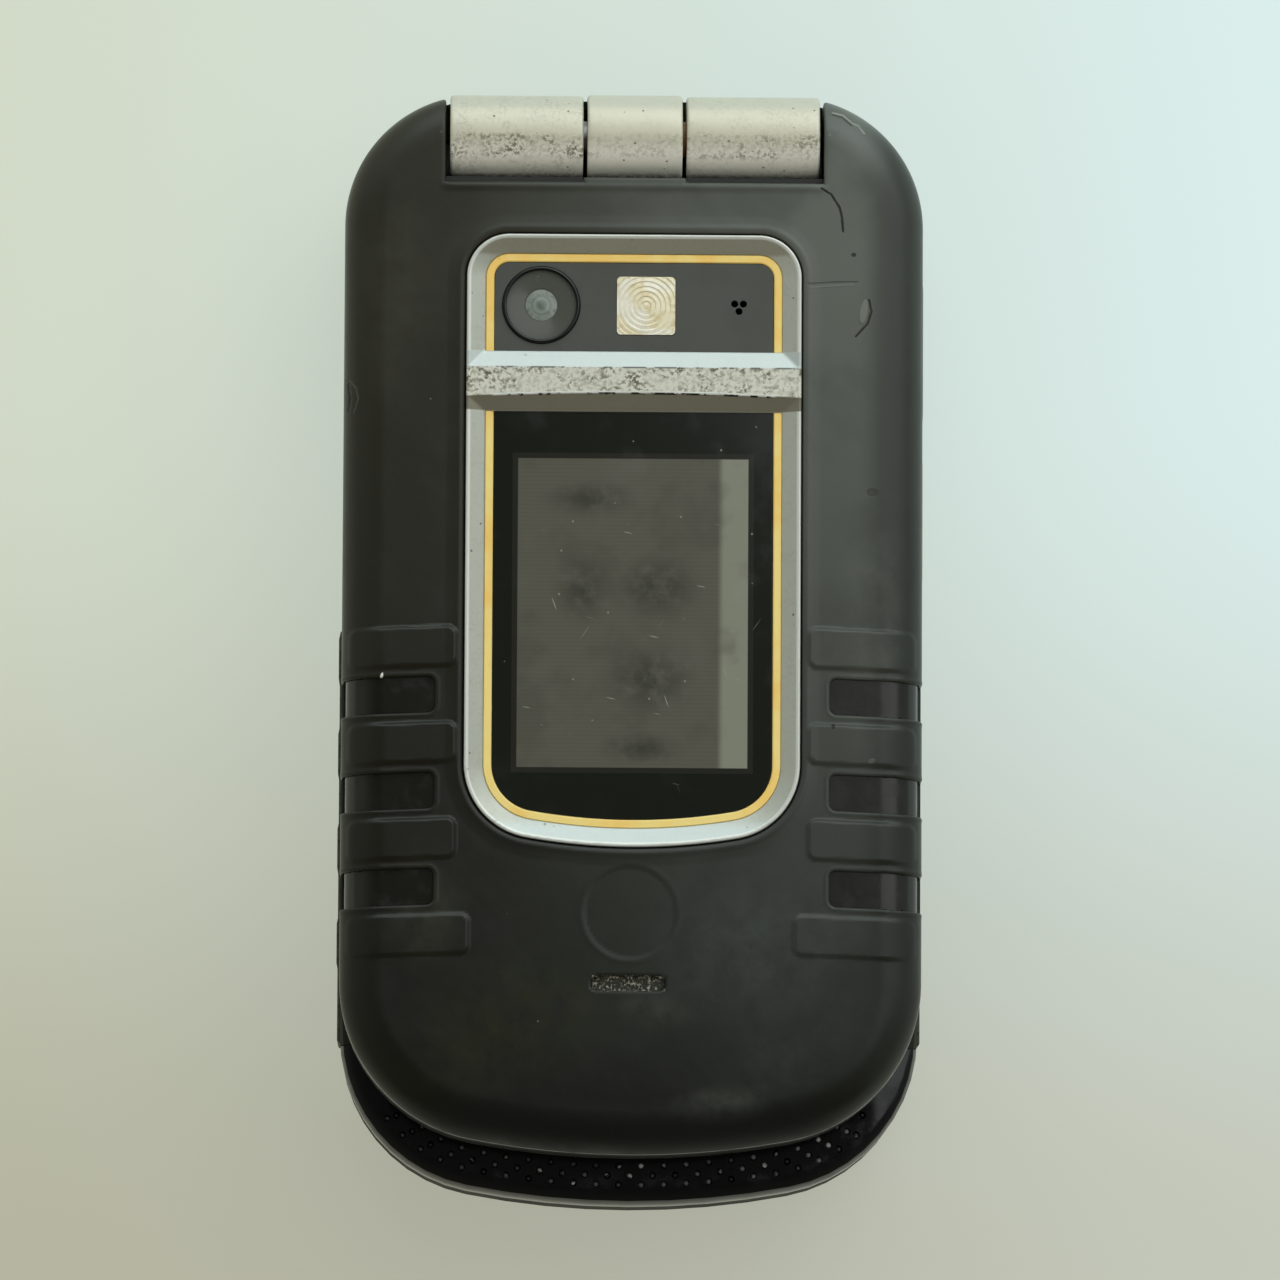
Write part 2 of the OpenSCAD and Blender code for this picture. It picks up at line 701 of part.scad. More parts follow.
module lid_inner_cover() {
    lip = 0.5;
    inside = skin_thickness + lid_wall;
    color([0.13, 0.13, 0.13]) difference() {
        loft([
            [z_lid, outline(lid_plan, lip)],
            [z_lid + lip, outline(lid_plan, 0)],
            [lid_split, outline(lid_plan, 0)]]);
        difference() {
            intersection() {
                slab(outline(lid_plan, inside), z_cover_floor, lid_split + through);
                block([-body_width, y_lid_end, 0], [body_width, y_cavity_end, z_top]);
            }
            both_sides() for (at = lid_screw_at) post(boss_r, at, z_cover_floor - through, z_top);
        }
        block([-body_width, y_hinge, z_lid - through], [body_width, y_rear + through, z_top]);
        block([-sleeve_start, y_notch, z_lid - through], [sleeve_start, y_rear + through, z_top]);
        slab(round_rect(grown(inner_window_size, fit), inner_window_corner, [0, y_inner]), z_lid - through,
            z_lid + window_recess + inner_window_thickness);
        slab(round_rect(grown(picture_size, picture_margin), 1, [0, y_inner]), z_lid - through,
            z_cover_floor + through);
        slab(round_rect([earpiece_width, earpiece_height], earpiece_height / 2 - 0.01, [0, y_earpiece]),
            z_lid - through, z_cover_floor + through);
        both_sides() {
            for (at = lid_screw_at) {
                post(screw_shank_r, at, z_lid - through, lid_split + through);
                post(screw_head_r + fit, at, z_lid - through, z_lid + screw_sink + screw_head);
            }
            for (b = bumper_at) post(b[2], b, z_lid - through, z_lid + bumper_seat);
        }
    }
}

module window_bezel() {
    flat_edge = 0.35;
    half = crossbar_width / 2;
    bar_end = bezel_width / 2 - flat_edge;
    color([0.72, 0.72, 0.66]) union() {
        difference() {
            loft([
                [z_window_seat, outline(bezel_plan)],
                [z_crest - 0.15, outline(bezel_plan)],
                [z_crest, outline(bezel_plan, 0.15)]]);
            loft([
                [z_window_seat - through, outline(bezel_plan, bezel_band)],
                [z_band_low, outline(bezel_plan, bezel_band)],
                [z_crest, outline(bezel_plan, flat_edge)],
                [z_crest + through, outline(bezel_plan, flat_edge)]]);
        }
        along_x(-bar_end, bar_end) polygon([
            [y_crossbar - half, z_window_seat],
            [y_crossbar + half, z_window_seat],
            [y_crossbar + half, z_band_low],
            [y_crossbar + crossbar_crest / 2, z_crest],
            [y_crossbar - crossbar_crest / 2, z_crest],
            [y_crossbar - half, z_band_low]]);
    }
}

// Keeps what lies clear of the crossbar
module clear_of_crossbar(gap) {
    half = crossbar_width / 2 + gap;
    difference() {
        children();
        block([-bezel_width, y_crossbar - half, 0], [bezel_width, y_crossbar + half, z_top + through]);
    }
}

module window_trim_ring() {
    color([0.92, 0.75, 0.42]) clear_of_crossbar(0) difference() {
        slab(outline(bezel_plan, bezel_band), z_window_seat, z_band_low - fit);
        slab(outline(bezel_plan, window_inset), z_window_seat - through, z_top);
    }
}

module camera_window() {
    color([0.2, 0.2, 0.19]) difference() {
        intersection() {
            slab(outline(bezel_plan, window_inset + fit), z_window_seat, z_window_top);
            block([-bezel_width, y_crossbar + crossbar_width / 2 + fit, 0],
                [bezel_width, bezel_top, z_top]);
        }
        post(camera_ring_d / 2 + fit, [-camera_offset, y_camera], z_window_seat - through, z_top);
        slab(round_rect([flash_size, flash_size], flash_corner, [flash_offset, y_camera]),
            z_window_seat - through, z_top);
        for (a = [30, 150, 270]) translate([mic_offset, y_camera, 0]) rotate(a)
            post(mic_hole_d / 2, [mic_spread, 0], z_window_seat - through, z_top);
    }
}

module camera_ring() {
    r = camera_ring_d / 2;
    color([0.05, 0.05, 0.05]) translate([-camera_offset, y_camera, 0]) rotate_extrude() polygon([
        [r - camera_ring_wall, z_window_seat],
        [r, z_window_seat],
        [r, z_window_top + 0.2],
        [r - 0.12, z_window_top + 0.3],
        [r - camera_ring_wall + 0.08, z_window_top + 0.3],
        [r - camera_ring_wall, z_window_top + 0.2]]);
}

module camera_lens() {
    color([0.3, 0.3, 0.3]) post(camera_ring_d / 2 - camera_ring_wall, [-camera_offset, y_camera],
        z_window_seat, z_window_top);
}

module camera_module() {
    base = 7;
    barrel_r = 2.2;
    color([0.12, 0.12, 0.12]) difference() {
        union() {
            block([-camera_offset - base / 2, y_camera - base / 2, z_lid_board_top],
                [-camera_offset + base / 2, y_camera + base / 2, z_lid_board_top + 2.2]);
            post(barrel_r, [-camera_offset, y_camera], z_lid_board_top + 2, z_window_seat - 0.2);
        }
        translate([-camera_offset, y_camera, z_window_seat + 0.4]) sphere(1.1);
    }
}

module flash_lens() {
    groove = 0.08;
    color([0.85, 0.82, 0.68]) difference() {
        slab(round_rect(grown([flash_size, flash_size], -fit), flash_corner - fit,
                [flash_offset, y_camera]),
            z_window_seat, z_window_top + 0.1);
        translate([flash_offset, y_camera, z_window_top + 0.1]) for (k = [1 : flash_rings]) rotate_extrude()
            polygon([
                [k * flash_ring_pitch - 0.12, 0.01],
                [k * flash_ring_pitch, -groove],
                [k * flash_ring_pitch + 0.12, 0.01]]);
    }
}

module outer_display_window() {
    color([0.1, 0.1, 0.1]) intersection() {
        slab(outline(bezel_plan, window_inset + fit), z_window_seat, z_window_top);
        block([-bezel_width, bezel_top - bezel_length, 0],
            [bezel_width, y_crossbar - crossbar_width / 2 - fit, z_top]);
    }
}

module outer_display() {
    color([0.35, 0.35, 0.3]) slab(round_rect(grown(outer_picture, outer_glass_margin), 0.4, [0, y_display]),
        z_lid_board_top, z_lid_board_top + outer_display_thickness);
}

module lid_board() {
    half_x = side_half - lid_board_margin;
    color([0.1, 0.35, 0.2]) block([-half_x, y_inner - inner_window_length / 2, z_lid_board],
        [half_x, y_cavity_end - lid_board_end_gap, z_lid_board_top]);
}

module inner_display() {
    color([0.3, 0.3, 0.32]) slab(round_rect(inner_display_size, 0.5, [0, y_inner]), z_cover_floor,
        z_lid_board);
}

module inner_display_window() {
    low = z_lid + window_recess;
    color([0.08, 0.08, 0.09]) slab(round_rect(inner_window_size, inner_window_corner, [0, y_inner]), low,
        low + inner_window_thickness);
}

module earpiece_speaker() {
    color([0.25, 0.25, 0.25]) slab(round_rect([earpiece_width + 2 * earpiece_margin[0],
            earpiece_height + 2 * earpiece_margin[1]], 2, [0, y_earpiece]),
        z_cover_floor, z_cover_floor + earpiece_thickness);
}

module lid_bumpers() {
    color([0.1, 0.1, 0.1]) both_sides() for (b = bumper_at)
        post(b[2], b, base_height + bumper_gap, z_lid + bumper_seat);
}

// Countersunk-free screw with a cross recess, its head down at a level
module screw(at, z, length) {
    slot = 0.3;
    difference() {
        union() {
            post(screw_head_r, at, z, z + screw_head);
            post(screw_shank_r, at, z, z + length);
        }
        for (a = [0, 90]) translate([at[0], at[1], z]) rotate(a)
            block([-0.9, -slot / 2, -through], [0.9, slot / 2, 0.4]);
    }
}

module lid_screws() {
    color([0.4, 0.4, 0.4]) both_sides() for (at = lid_screw_at)
        screw(at, z_lid + screw_sink, lid_screw_length);
}

// ---------------------------------------------------------------- hinge

// One silver sleeve of the lid, closed at its outer end
module hinge_sleeve() {
    color([0.78, 0.78, 0.72]) difference() {
        hinge_bar(side_knuckle_r, sleeve_start, sleeve_end);
        hinge_bar(bore_r, sleeve_start - through, sleeve_end - sleeve_cap);
    }
}

module hinge_sleeve_left() {
    mirror([1, 0, 0]) hinge_sleeve();
}

module hinge_sleeve_right() {
    hinge_sleeve();
}

module hinge_cam_can() {
    far = sleeve_end - sleeve_cap;
    color([0.55, 0.55, 0.55]) difference() {
        hinge_bar(bore_r, -far, -sleeve_start);
        hinge_bar(hinge_shaft_d / 2 + fit, 0.8 - far, through - sleeve_start);
    }
}

module flex_cable() {
    far = sleeve_end - sleeve_cap;
    near = centre_half + bush_reach + 0.3;
    color([0.75, 0.5, 0.2]) difference() {
        union() {
            hinge_bar(flex_roll_r, 1.5, far);
            hinge_bar(bore_r, near, far);
        }
        hinge_bar(flex_roll_r - 0.6, 1.5 - through, far + through);
    }
}

// Middle knuckle, with the hollow spigot on which the right sleeve turns
module centre_knuckle() {
    spigot = centre_half + bush_reach;
    color([0.8, 0.8, 0.75]) difference() {
        union() {
            hinge_bar(centre_knuckle_r, -centre_half, centre_half);
            hinge_bar(bore_r - fit, 0, spigot);
        }
        hinge_bar(bore_r, -centre_half - through, 0);
        hinge_bar(flex_roll_r + 0.4, -through, spigot + through);
    }
}

module hinge_shaft() {
    color([0.6, 0.6, 0.6]) union() {
        hinge_bar(bore_r, -centre_half, -0.5);
        hinge_bar(hinge_shaft_d / 2, 1.2 - sleeve_end + sleeve_cap, -centre_half + through / 2);
    }
}

// ---------------------------------------------------------------- shared shapes of the base

// Seat of the side grips in both shells of the base
module grip_seats() {
    both_sides() block([side_half - grip_seat, grip_y[0] - fit, grip_z[0] - fit],
        [phone_width, grip_y[1] + fit, grip_z[1] + fit]);
}

// Windows for the side keys in both shells of the base
module side_key_window(y, length) {
    half = length / 2 + side_key_gap;
    height = side_key_height / 2 + side_key_gap;
    block([side_half - base_wall - through, y - half, z_side_key - height],
        [phone_width, y + half, z_side_key + height]);
}

module side_key_windows() {
    side_key_window(y_volume, volume_length);
    side_key_window(y_talk, talk_length);
}

// Plans of all keys on the keypad as [name, size, place]
function key_place(i) = [(i % 3 - 1) * key_pitch_x, key_top_row - floor(i / 3) * key_pitch_y];
other_keys = [
    ["soft_key_left", soft_key_size, [-side_column_x, soft_key_y]],
    ["soft_key_right", soft_key_size, [side_column_x, soft_key_y]],
    ["send_key", call_key_size, [-side_column_x, call_key_y]],
    ["end_key", call_key_size, [side_column_x, call_key_y]]];
key_plans = concat(
    [for (i = [0 : 3 * key_rows - 1]) [digit_keys[i], [key_width, key_height], key_place(i)]],
    other_keys);

// ---------------------------------------------------------------- base

module base_rear_shell() {
    bay = [bay_half[0] + bay_wall, bay_half[1] + bay_wall];
    color([0.2, 0.2, 0.17]) difference() {
        union() {
            difference() {
                loft(concat(
                    [for (i = [0 : edge_steps]) let (a = 90 * i / edge_steps) [
                        base_edge_depth * (1 - cos(a)),
                        outline(base_plan, base_edge_width * (1 - sin(a)))]],
                    [[base_split, outline(base_plan)]]));
                slab(outline(base_plan, base_wall), base_wall, base_split + through);
            }
            block([-bay[0], y_battery - bay[1], base_wall / 2],
                [bay[0], y_battery + bay[1], z_bay_roof + bay_roof]);
            both_sides() {
                for (at = base_screw_at) post(boss_r, at, base_wall / 2, base_split);
                for (at = board_post_at) post(board_post_r, at, base_wall / 2, z_board);
            }
            for (x = [1, motor_length - 1]) block([motor_at[0] - x - 0.5, motor_at[1] - 2.4, base_wall / 2],
                [motor_at[0] - x + 0.5, motor_at[1] + 2.4, z_motor]);
        }
        slab(round_rect(cover_size, cover_corner, [0, y_battery]), -through,
            battery_cover_lift + battery_cover_thickness + fit);
        slab(round_rect(2 * bay_half, 1, [0, y_battery]), -through, z_bay_roof);
        both_sides() for (at = base_screw_at) {
            post(screw_shank_r + 0.1, at, -through, base_split + through);
            post(screw_head_r + 0.1, at, -through, screw_sink + screw_head);
        }
        grip_seats();
        side_key_windows();
        port_room();
        motor_body(0);
    }
}

// Recess of the port cover in the left side, and the window of the data connector behind it
module port_room() {
    y = port_length / 2 + port_gap;
    z = port_height / 2 + port_gap;
    mirror([1, 0, 0]) {
        block([side_half - port_plate - fit, y_port - y, z_port - z], [phone_width, y_port + y, z_port + z]);
        block([side_half - connector_size[0], y_port - connector_size[1] / 2, z_port - connector_size[2] / 2],
            [phone_width, y_port + connector_size[1] / 2, z_port + connector_size[2] / 2]);
    }
}

// Height of the stop on the base at a place behind the axis, where the open lid's outside comes to rest
function stop_z(y) = z_hinge + (y - y_hinge) * tan(180 - open_angle)
    - (z_top - z_hinge + stop_gap) / cos(180 - open_angle);

// Outside of the front shell, with its chamfered upper rim
module front_envelope() {
    loft([
        [base_split, outline(base_plan)],
        [base_height - rim_edge, outline(base_plan)],
        [base_height - 0.3 * rim_edge, outline(base_plan, 0.3 * rim_edge)],
        [base_height, outline(base_plan, rim_edge)]]);
}

module base_front_shell() {
    ledge_start = y_hinge + knuckle_gap;
    z_ledge = base_height - rim_edge;
    color([0.16, 0.16, 0.15]) difference() {
        union() {
            difference() {
                front_envelope();
                slab(outline(base_plan, base_wall), base_split - through, z_deck_low);
            }
            difference() {
                intersection() {
                    slab(outline(base_plan), z_ledge, z_hinge);
                    along_x(-phone_width, phone_width) polygon([
                        [ledge_start, z_ledge],
                        [y_rear, z_ledge],
                        [y_rear, stop_z(y_rear)],
                        [ledge_start, stop_z(ledge_start)]]);
                }
                hinge_bar(side_knuckle_r + knuckle_gap, -phone_width, phone_width);
            }
            difference() {
                block([-centre_half, y_hinge - centre_knuckle_r, z_ledge],
                    [centre_half, y_shoulder, z_hinge]);
                hinge_bar(centre_knuckle_r, -centre_half - through, centre_half + through);
            }
            both_sides() for (at = base_screw_at) post(boss_r, at, base_split, z_deck);
        }
        slab(round_rect([2 * deck_half_x, deck_y[1] - deck_y[0]], deck_corner,
                [0, (deck_y[0] + deck_y[1]) / 2]),
            z_deck, base_height + through);
        for (k = key_plans) slab(round_rect(grown(k[1], key_gap), key_corner + key_gap, k[2]),
            z_deck_low - through, z_deck + through);
        post(nav_ring_d / 2 + key_gap, [0, nav_y], z_deck_low - through, z_deck + through);
        both_sides() for (at = base_screw_at) post(screw_shank_r, at, base_split - through, z_deck - 0.8);
        post(mic_hole_d / 2, [0, y_talk_mic], z_deck_low - through, base_height + through);
        grip_seats();
        side_key_windows();
        chin_room(fit);
        intersection() {
            difference() {
                slab(outline(base_plan, sound_inset[0]), z_deck_low - through, z_panel + through);
                slab(outline(base_plan, sound_inset[1]), 0, z_panel + 2 * through);
            }
            block([-sound_half, y_chin, 0], [sound_half, y_chin + 12, base_height]);
        }
    }
}

module base_grips() {
    half = grip_pad_height / 2;
    outside = side_half + grip_proud;
    color([0.24, 0.25, 0.2]) both_sides() slab(concat(
            [[side_half - grip_seat, grip_y[1]], [side_half - grip_seat, grip_y[0]], [outside, grip_y[0]]],
            [for (k = [grip_rows - 1 : -1 : 0]) let (y = y_grip + (0.5 - k) * grip_pitch)
                if (y - half - grip_flank > grip_y[0] && y + half + grip_flank < grip_y[1]) each [
                    [outside, y - half - grip_flank],
                    [outside + grip_rib_proud, y - half],
                    [outside + grip_rib_proud, y + half],
                    [outside, y + half + grip_flank]]],
            [[outside, grip_y[1]]]),
        grip_z[0], grip_z[1]);
}

// Room of the chin panel: a crescent outside the end of the lid, and the skirt below it
module chin_room(gap) {
    difference() {
        block([-phone_width, y_chin - through, base_split - gap],
            [phone_width, y_panel_end + gap, base_height + through]);
        slab(outline(base_plan, chin_skirt + gap), base_split - through, z_panel);
        slab(outline(lid_plan, panel_under_lid + gap), base_split - through, base_height + 2 * through);
    }
}

// Angle over which the chin bows from its middle to a corner, and the length of that bow
chin_corner_x = side_half - chin_corner_radius;
chin_turn = asin(chin_corner_x / (end_bow_radius - chin_corner_radius));
function chin_run(inset) = (end_bow_radius - inset) * chin_turn * PI / 180;
chin_reach = chin_run(chin_rows[0]) + (chin_corner_radius - chin_rows[0]) * chin_hole_turn * PI / 180;

// Place at a distance s along the chin, measured from the middle of a line set in from the outline
function chin_place(inset, s) = let (
    bow = end_bow_radius - inset,
    corner = chin_corner_radius - inset,
    run = chin_run(inset),
    past = (abs(s) - run) / corner * 180 / PI,
    side = sign(s),
    y_bow = y_chin + end_bow_radius,
    corner_y = y_bow - (bow - corner) * cos(chin_turn))
    abs(s) <= run
        ? [bow * sin(s / bow * 180 / PI), y_bow - bow * cos(s / bow * 180 / PI)]
        : [
            side * (chin_corner_x + corner * sin(chin_turn + past)),
            corner_y - corner * cos(chin_turn + past)];

module chin_panel() {
    color([0.06, 0.06, 0.06]) difference() {
        intersection() {
            front_envelope();
            chin_room(0);
        }
        for (row = [0 : len(chin_rows) - 1]) let (shift = row % 2 == 0 ? 0 : chin_hole_pitch / 2)
            for (s = [-chin_reach + shift : chin_hole_pitch : chin_reach + 0.01])
                post(chin_hole_d / 2, chin_place(chin_rows[row], s), z_panel - through,
                    base_height + through);
    }
}

module loudspeaker() {
    color([0.2, 0.2, 0.2]) slab(round_rect([speaker_size[0], speaker_size[1]], 2, [0, y_speaker]),
        z_deck_low - speaker_size[2], z_deck_low);
}

module main_board() {
    color([0.1, 0.4, 0.2]) block([-board_half_x, board_y[0], z_board],
        [board_half_x, board_y[1], z_board_top]);
}

module keypad_mat() {
    color([0.5, 0.5, 0.5]) difference() {
        block([-mat_half_x, mat_y[0], z_board_top], [mat_half_x, mat_y[1], z_mat_top]);
        post(nav_dish_r, [0, nav_y], z_mat_top - nav_dish, z_mat_top + through);
    }
}

module battery_pack() {
    contact = [8, 1, 1.6];
    color([0.25, 0.25, 0.27]) difference() {
        slab(round_rect([battery_width, battery_length], 0.8, [0, y_battery]), z_battery,
            z_battery + battery_thickness);
        block([-contact[0] / 2, y_battery + battery_length / 2 - contact[1], z_battery + 1.5],
            [contact[0] / 2, y_battery + battery_length, z_battery + 1.5 + contact[2]]);
    }
}

module data_connector() {
    x = side_half - port_plate - fit;
    y = connector_size[1] / 2;
    z = connector_size[2] / 2;
    color([0.7, 0.7, 0.7]) mirror([1, 0, 0]) difference() {
        union() {
            block([x - connector_size[0], y_port - y, z_port - z], [x, y_port + y, z_port + z]);
            block([x - connector_size[0], y_port - y + 0.5, z_port],
                [board_half_x, y_port + y - 0.5, z_board]);
        }
        block([x - connector_size[0] + connector_back, y_port - y + connector_wall, z_port - z + connector_wall],
            [x + through, y_port + y - connector_wall, z_port + z - connector_wall]);
    }
}

module base_screws() {
    color([0.4, 0.4, 0.4]) both_sides() for (at = base_screw_at)
        screw(at, screw_sink, base_screw_length);
}

// Body of the vibration motor, which lies along X on the rear shell
module motor_body(gap) {
    translate([motor_at[0] - motor_length, motor_at[1], z_motor]) rotate([0, 90, 0])
        cylinder(r = motor_r + gap, h = motor_length);
}

module vibration_motor() {
    color([0.7, 0.7, 0.72]) union() {
        motor_body(0);
        translate([motor_at[0] - 0.5, motor_at[1], z_motor]) rotate([0, 90, 0])
            cylinder(r = motor_shaft_r, h = weight_length + 1);
    }
}

module vibration_weight() {
    place = [motor_at[0] + 0.3, motor_at[1], z_motor];
    color([0.6, 0.6, 0.6]) translate(place) rotate([0, 90, 0]) difference() {
        union() {
            rotate(-90) rotate_extrude(angle = 180) square([weight_r, weight_length]);
            cylinder(r = 1, h = weight_length);
        }
        translate([0, 0, -through]) cylinder(r = motor_shaft_r + 0.02, h = weight_length + 2 * through);
    }
}

// ---------------------------------------------------------------- battery cover and latch

module battery_cover() {
    z_low = battery_cover_lift;
    z_high = battery_cover_lift + battery_cover_thickness;
    step = battery_cover_thickness / 2;
    slot = [latch_size[0] + 2 * latch_gap, latch_size[1] + latch_travel + 2 * latch_gap];
    wide = [slot[0] + 2 * latch_flange, slot[1] + 2 * latch_flange];
    middle = [0, y_latch - latch_travel / 2];
    color([0.18, 0.18, 0.17]) difference() {
        slab(round_rect(grown(cover_size, -cover_gap), cover_corner - cover_gap, [0, y_battery]),
            z_low, z_high);
        slab(round_rect(slot, 0.8, middle), z_low - through, z_high);
        slab(round_rect(wide, 0.8, middle), z_low + step, z_high + through);
    }
}

module battery_latch() {
    z_low = battery_cover_lift + fit;
    step = battery_cover_lift + battery_cover_thickness / 2 + fit;
    ribs = 3;
    rib_pitch = 1.2;
    color([0.3, 0.3, 0.3]) difference() {
        union() {
            slab(round_rect(latch_size, 0.6, [0, y_latch]), z_low, step + 0.1);
            slab(round_rect(grown(latch_size, latch_flange - latch_gap), 0.6, [0, y_latch]),
                step, step + 0.4);
        }
        for (k = [0 : ribs - 1]) block([-latch_size[0] / 2 + 1, y_latch + (k - 1) * rib_pitch - 0.3, 0],
            [latch_size[0] / 2 - 1, y_latch + (k - 1) * rib_pitch + 0.3, z_low + 0.25]);
    }
}

// ---------------------------------------------------------------- port cover and side keys

module port_cover() {
    plug_x = side_half - port_plate;
    plug_y = y_port - port_length / 2 + 2.1;
    color([0.15, 0.15, 0.14]) mirror([1, 0, 0]) union() {
        block([plug_x, y_port - port_length / 2, z_port - port_height / 2],
            [side_half, y_port + port_length / 2, z_port + port_height / 2]);
        block([plug_x - plug_depth, plug_y, z_port - plug_height / 2],
            [plug_x + 0.1, plug_y + plug_length, z_port + plug_height / 2]);
    }
}

// Side key with a retaining flange behind the wall
module side_key(y, length, play) {
    reach = side_key_proud + base_wall + play;
    along_side(y) union() {
        slab(round_rect([side_key_height, length], 1), 0, reach + 0.1);
        slab(round_rect(grown([side_key_height, length], side_flange[0]), 0.8), reach,
            reach + side_flange[1]);
    }
}

// Places a key drawn flat, its outside down, in the right side of the base
module along_side(y) {
    translate([side_half + side_key_proud, y, z_side_key]) rotate([0, -90, 0]) children();
}

module volume_rocker() {
    color([0.3, 0.3, 0.28]) side_key(y_volume, volume_length, volume_play);
}

module talk_key() {
    color([0.85, 0.7, 0.35]) side_key(y_talk, talk_length, talk_play);
}

// ---------------------------------------------------------------- keypad

// A key with a crowned top and a flange under the deck
module key(plan) {
    size = plan[1];
    at = plan[2];
    slab(round_rect(grown(size, key_gap + key_lap), key_corner, at), z_key_flange, z_deck_low);
    intersection() {
        slab(round_rect(size, key_corner, at), z_key_flange, z_key_top + through);
        translate([at[0] - size[0], at[1], z_key_top - key_crown]) rotate([0, 90, 0])
            cylinder(r = key_crown, h = 2 * size[0], $fn = 96);
    }
}

module nav_ring() {
    r = nav_ring_d / 2;
    inner = select_key_d / 2 + key_gap;
    color([0.25, 0.25, 0.25]) translate([0, nav_y, 0]) rotate_extrude() polygon([
        [inner, z_nav_flange],
        [nav_flange_r, z_nav_flange],
        [nav_flange_r, z_nav_flange + nav_flange],
        [r, z_nav_flange + nav_flange],
        [r, z_key_top - 0.3],
        [r - 0.5, z_key_top],
        [inner + 1, z_key_top - 0.2],
        [inner, z_key_top - 0.3]]);
}

module select_key() {
    r = select_key_d / 2;
    color([0.7, 0.7, 0.66]) translate([0, nav_y, 0]) rotate_extrude() polygon([
        [0, z_key_flange],
        [r, z_key_flange],
        [r, z_key_top - 0.25],
        [r - 0.4, z_key_top],
        [0, z_key_top]]);
}

module soft_key_left() {
    color([0.35, 0.35, 0.34]) key(key_plans[12]);
}

module soft_key_right() {
    color([0.35, 0.35, 0.34]) key(key_plans[13]);
}

module send_key() {
    color([0.2, 0.5, 0.25]) key(key_plans[14]);
}

module end_key() {
    color([0.6, 0.2, 0.15]) key(key_plans[15]);
}

module key_1() {
    color([0.3, 0.3, 0.3]) key(key_plans[0]);
}

module key_2() {
    color([0.3, 0.3, 0.3]) key(key_plans[1]);
}

module key_3() {
    color([0.3, 0.3, 0.3]) key(key_plans[2]);
}

module key_4() {
    color([0.3, 0.3, 0.3]) key(key_plans[3]);
}

module key_5() {
    color([0.3, 0.3, 0.3]) key(key_plans[4]);
}

module key_6() {
    color([0.3, 0.3, 0.3]) key(key_plans[5]);
}

module key_7() {
    color([0.3, 0.3, 0.3]) key(key_plans[6]);
}

module key_8() {
    color([0.3, 0.3, 0.3]) key(key_plans[7]);
}

module key_9() {
    color([0.3, 0.3, 0.3]) key(key_plans[8]);
}

module key_star() {
    color([0.3, 0.3, 0.3]) key(key_plans[9]);
}

module key_0() {
    color([0.3, 0.3, 0.3]) key(key_plans[10]);
}

module key_hash() {
    color([0.3, 0.3, 0.3]) key(key_plans[11]);
}

lid_rubber_skin();
grip_inserts();
lid_front_shell();
lid_inner_cover();
window_bezel();
window_trim_ring();
camera_window();
camera_ring();
camera_lens();
camera_module();
flash_lens();
outer_display_window();
outer_display();
lid_board();
inner_display();
inner_display_window();
earpiece_speaker();
lid_bumpers();
lid_screws();
hinge_sleeve_left();
hinge_sleeve_right();
hinge_cam_can();
flex_cable();
centre_knuckle();
hinge_shaft();
base_rear_shell();
base_front_shell();
base_grips();
chin_panel();
loudspeaker();
main_board();
keypad_mat();
battery_pack();
data_connector();
base_screws();
vibration_motor();
vibration_weight();
battery_cover();
battery_latch();
port_cover();
volume_rocker();
talk_key();
nav_ring();
select_key();
soft_key_left();
soft_key_right();
send_key();
end_key();
key_1();
key_2();
key_3();
key_4();
key_5();
key_6();
key_7();
key_8();
key_9();
key_star();
key_0();
key_hash();
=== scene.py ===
"""Looks of the rugged clamshell phone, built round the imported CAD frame.

Sizes are in millimetres until a mesh is made.
"""

import json
import math

import bmesh
import bpy
import numpy as np
from mathutils import Matrix, Vector


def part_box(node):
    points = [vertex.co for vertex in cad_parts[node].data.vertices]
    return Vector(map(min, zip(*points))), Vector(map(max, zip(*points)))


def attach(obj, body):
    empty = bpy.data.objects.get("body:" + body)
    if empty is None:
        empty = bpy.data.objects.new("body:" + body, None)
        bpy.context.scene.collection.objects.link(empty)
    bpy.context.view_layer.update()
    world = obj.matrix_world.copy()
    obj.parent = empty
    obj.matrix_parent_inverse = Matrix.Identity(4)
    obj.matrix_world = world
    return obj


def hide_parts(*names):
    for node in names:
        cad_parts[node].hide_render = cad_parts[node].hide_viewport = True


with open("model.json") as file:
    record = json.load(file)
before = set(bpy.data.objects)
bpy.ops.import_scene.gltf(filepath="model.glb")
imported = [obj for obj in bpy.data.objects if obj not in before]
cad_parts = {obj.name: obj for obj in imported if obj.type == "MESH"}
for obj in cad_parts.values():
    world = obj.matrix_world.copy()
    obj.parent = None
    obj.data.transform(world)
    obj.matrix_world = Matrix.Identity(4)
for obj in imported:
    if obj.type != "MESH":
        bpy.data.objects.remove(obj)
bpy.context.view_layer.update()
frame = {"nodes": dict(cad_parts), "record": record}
scene = bpy.context.scene
MM = 0.001

# ---- places and sizes taken from the frame


def box(*nodes):
    """Lowest and highest corner of some CAD nodes together, in millimetres."""
    corners = [[np.array(c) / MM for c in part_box(n)] for n in nodes]
    return np.min([c[0] for c in corners], axis=0), np.max([c[1] for c in corners], axis=0)


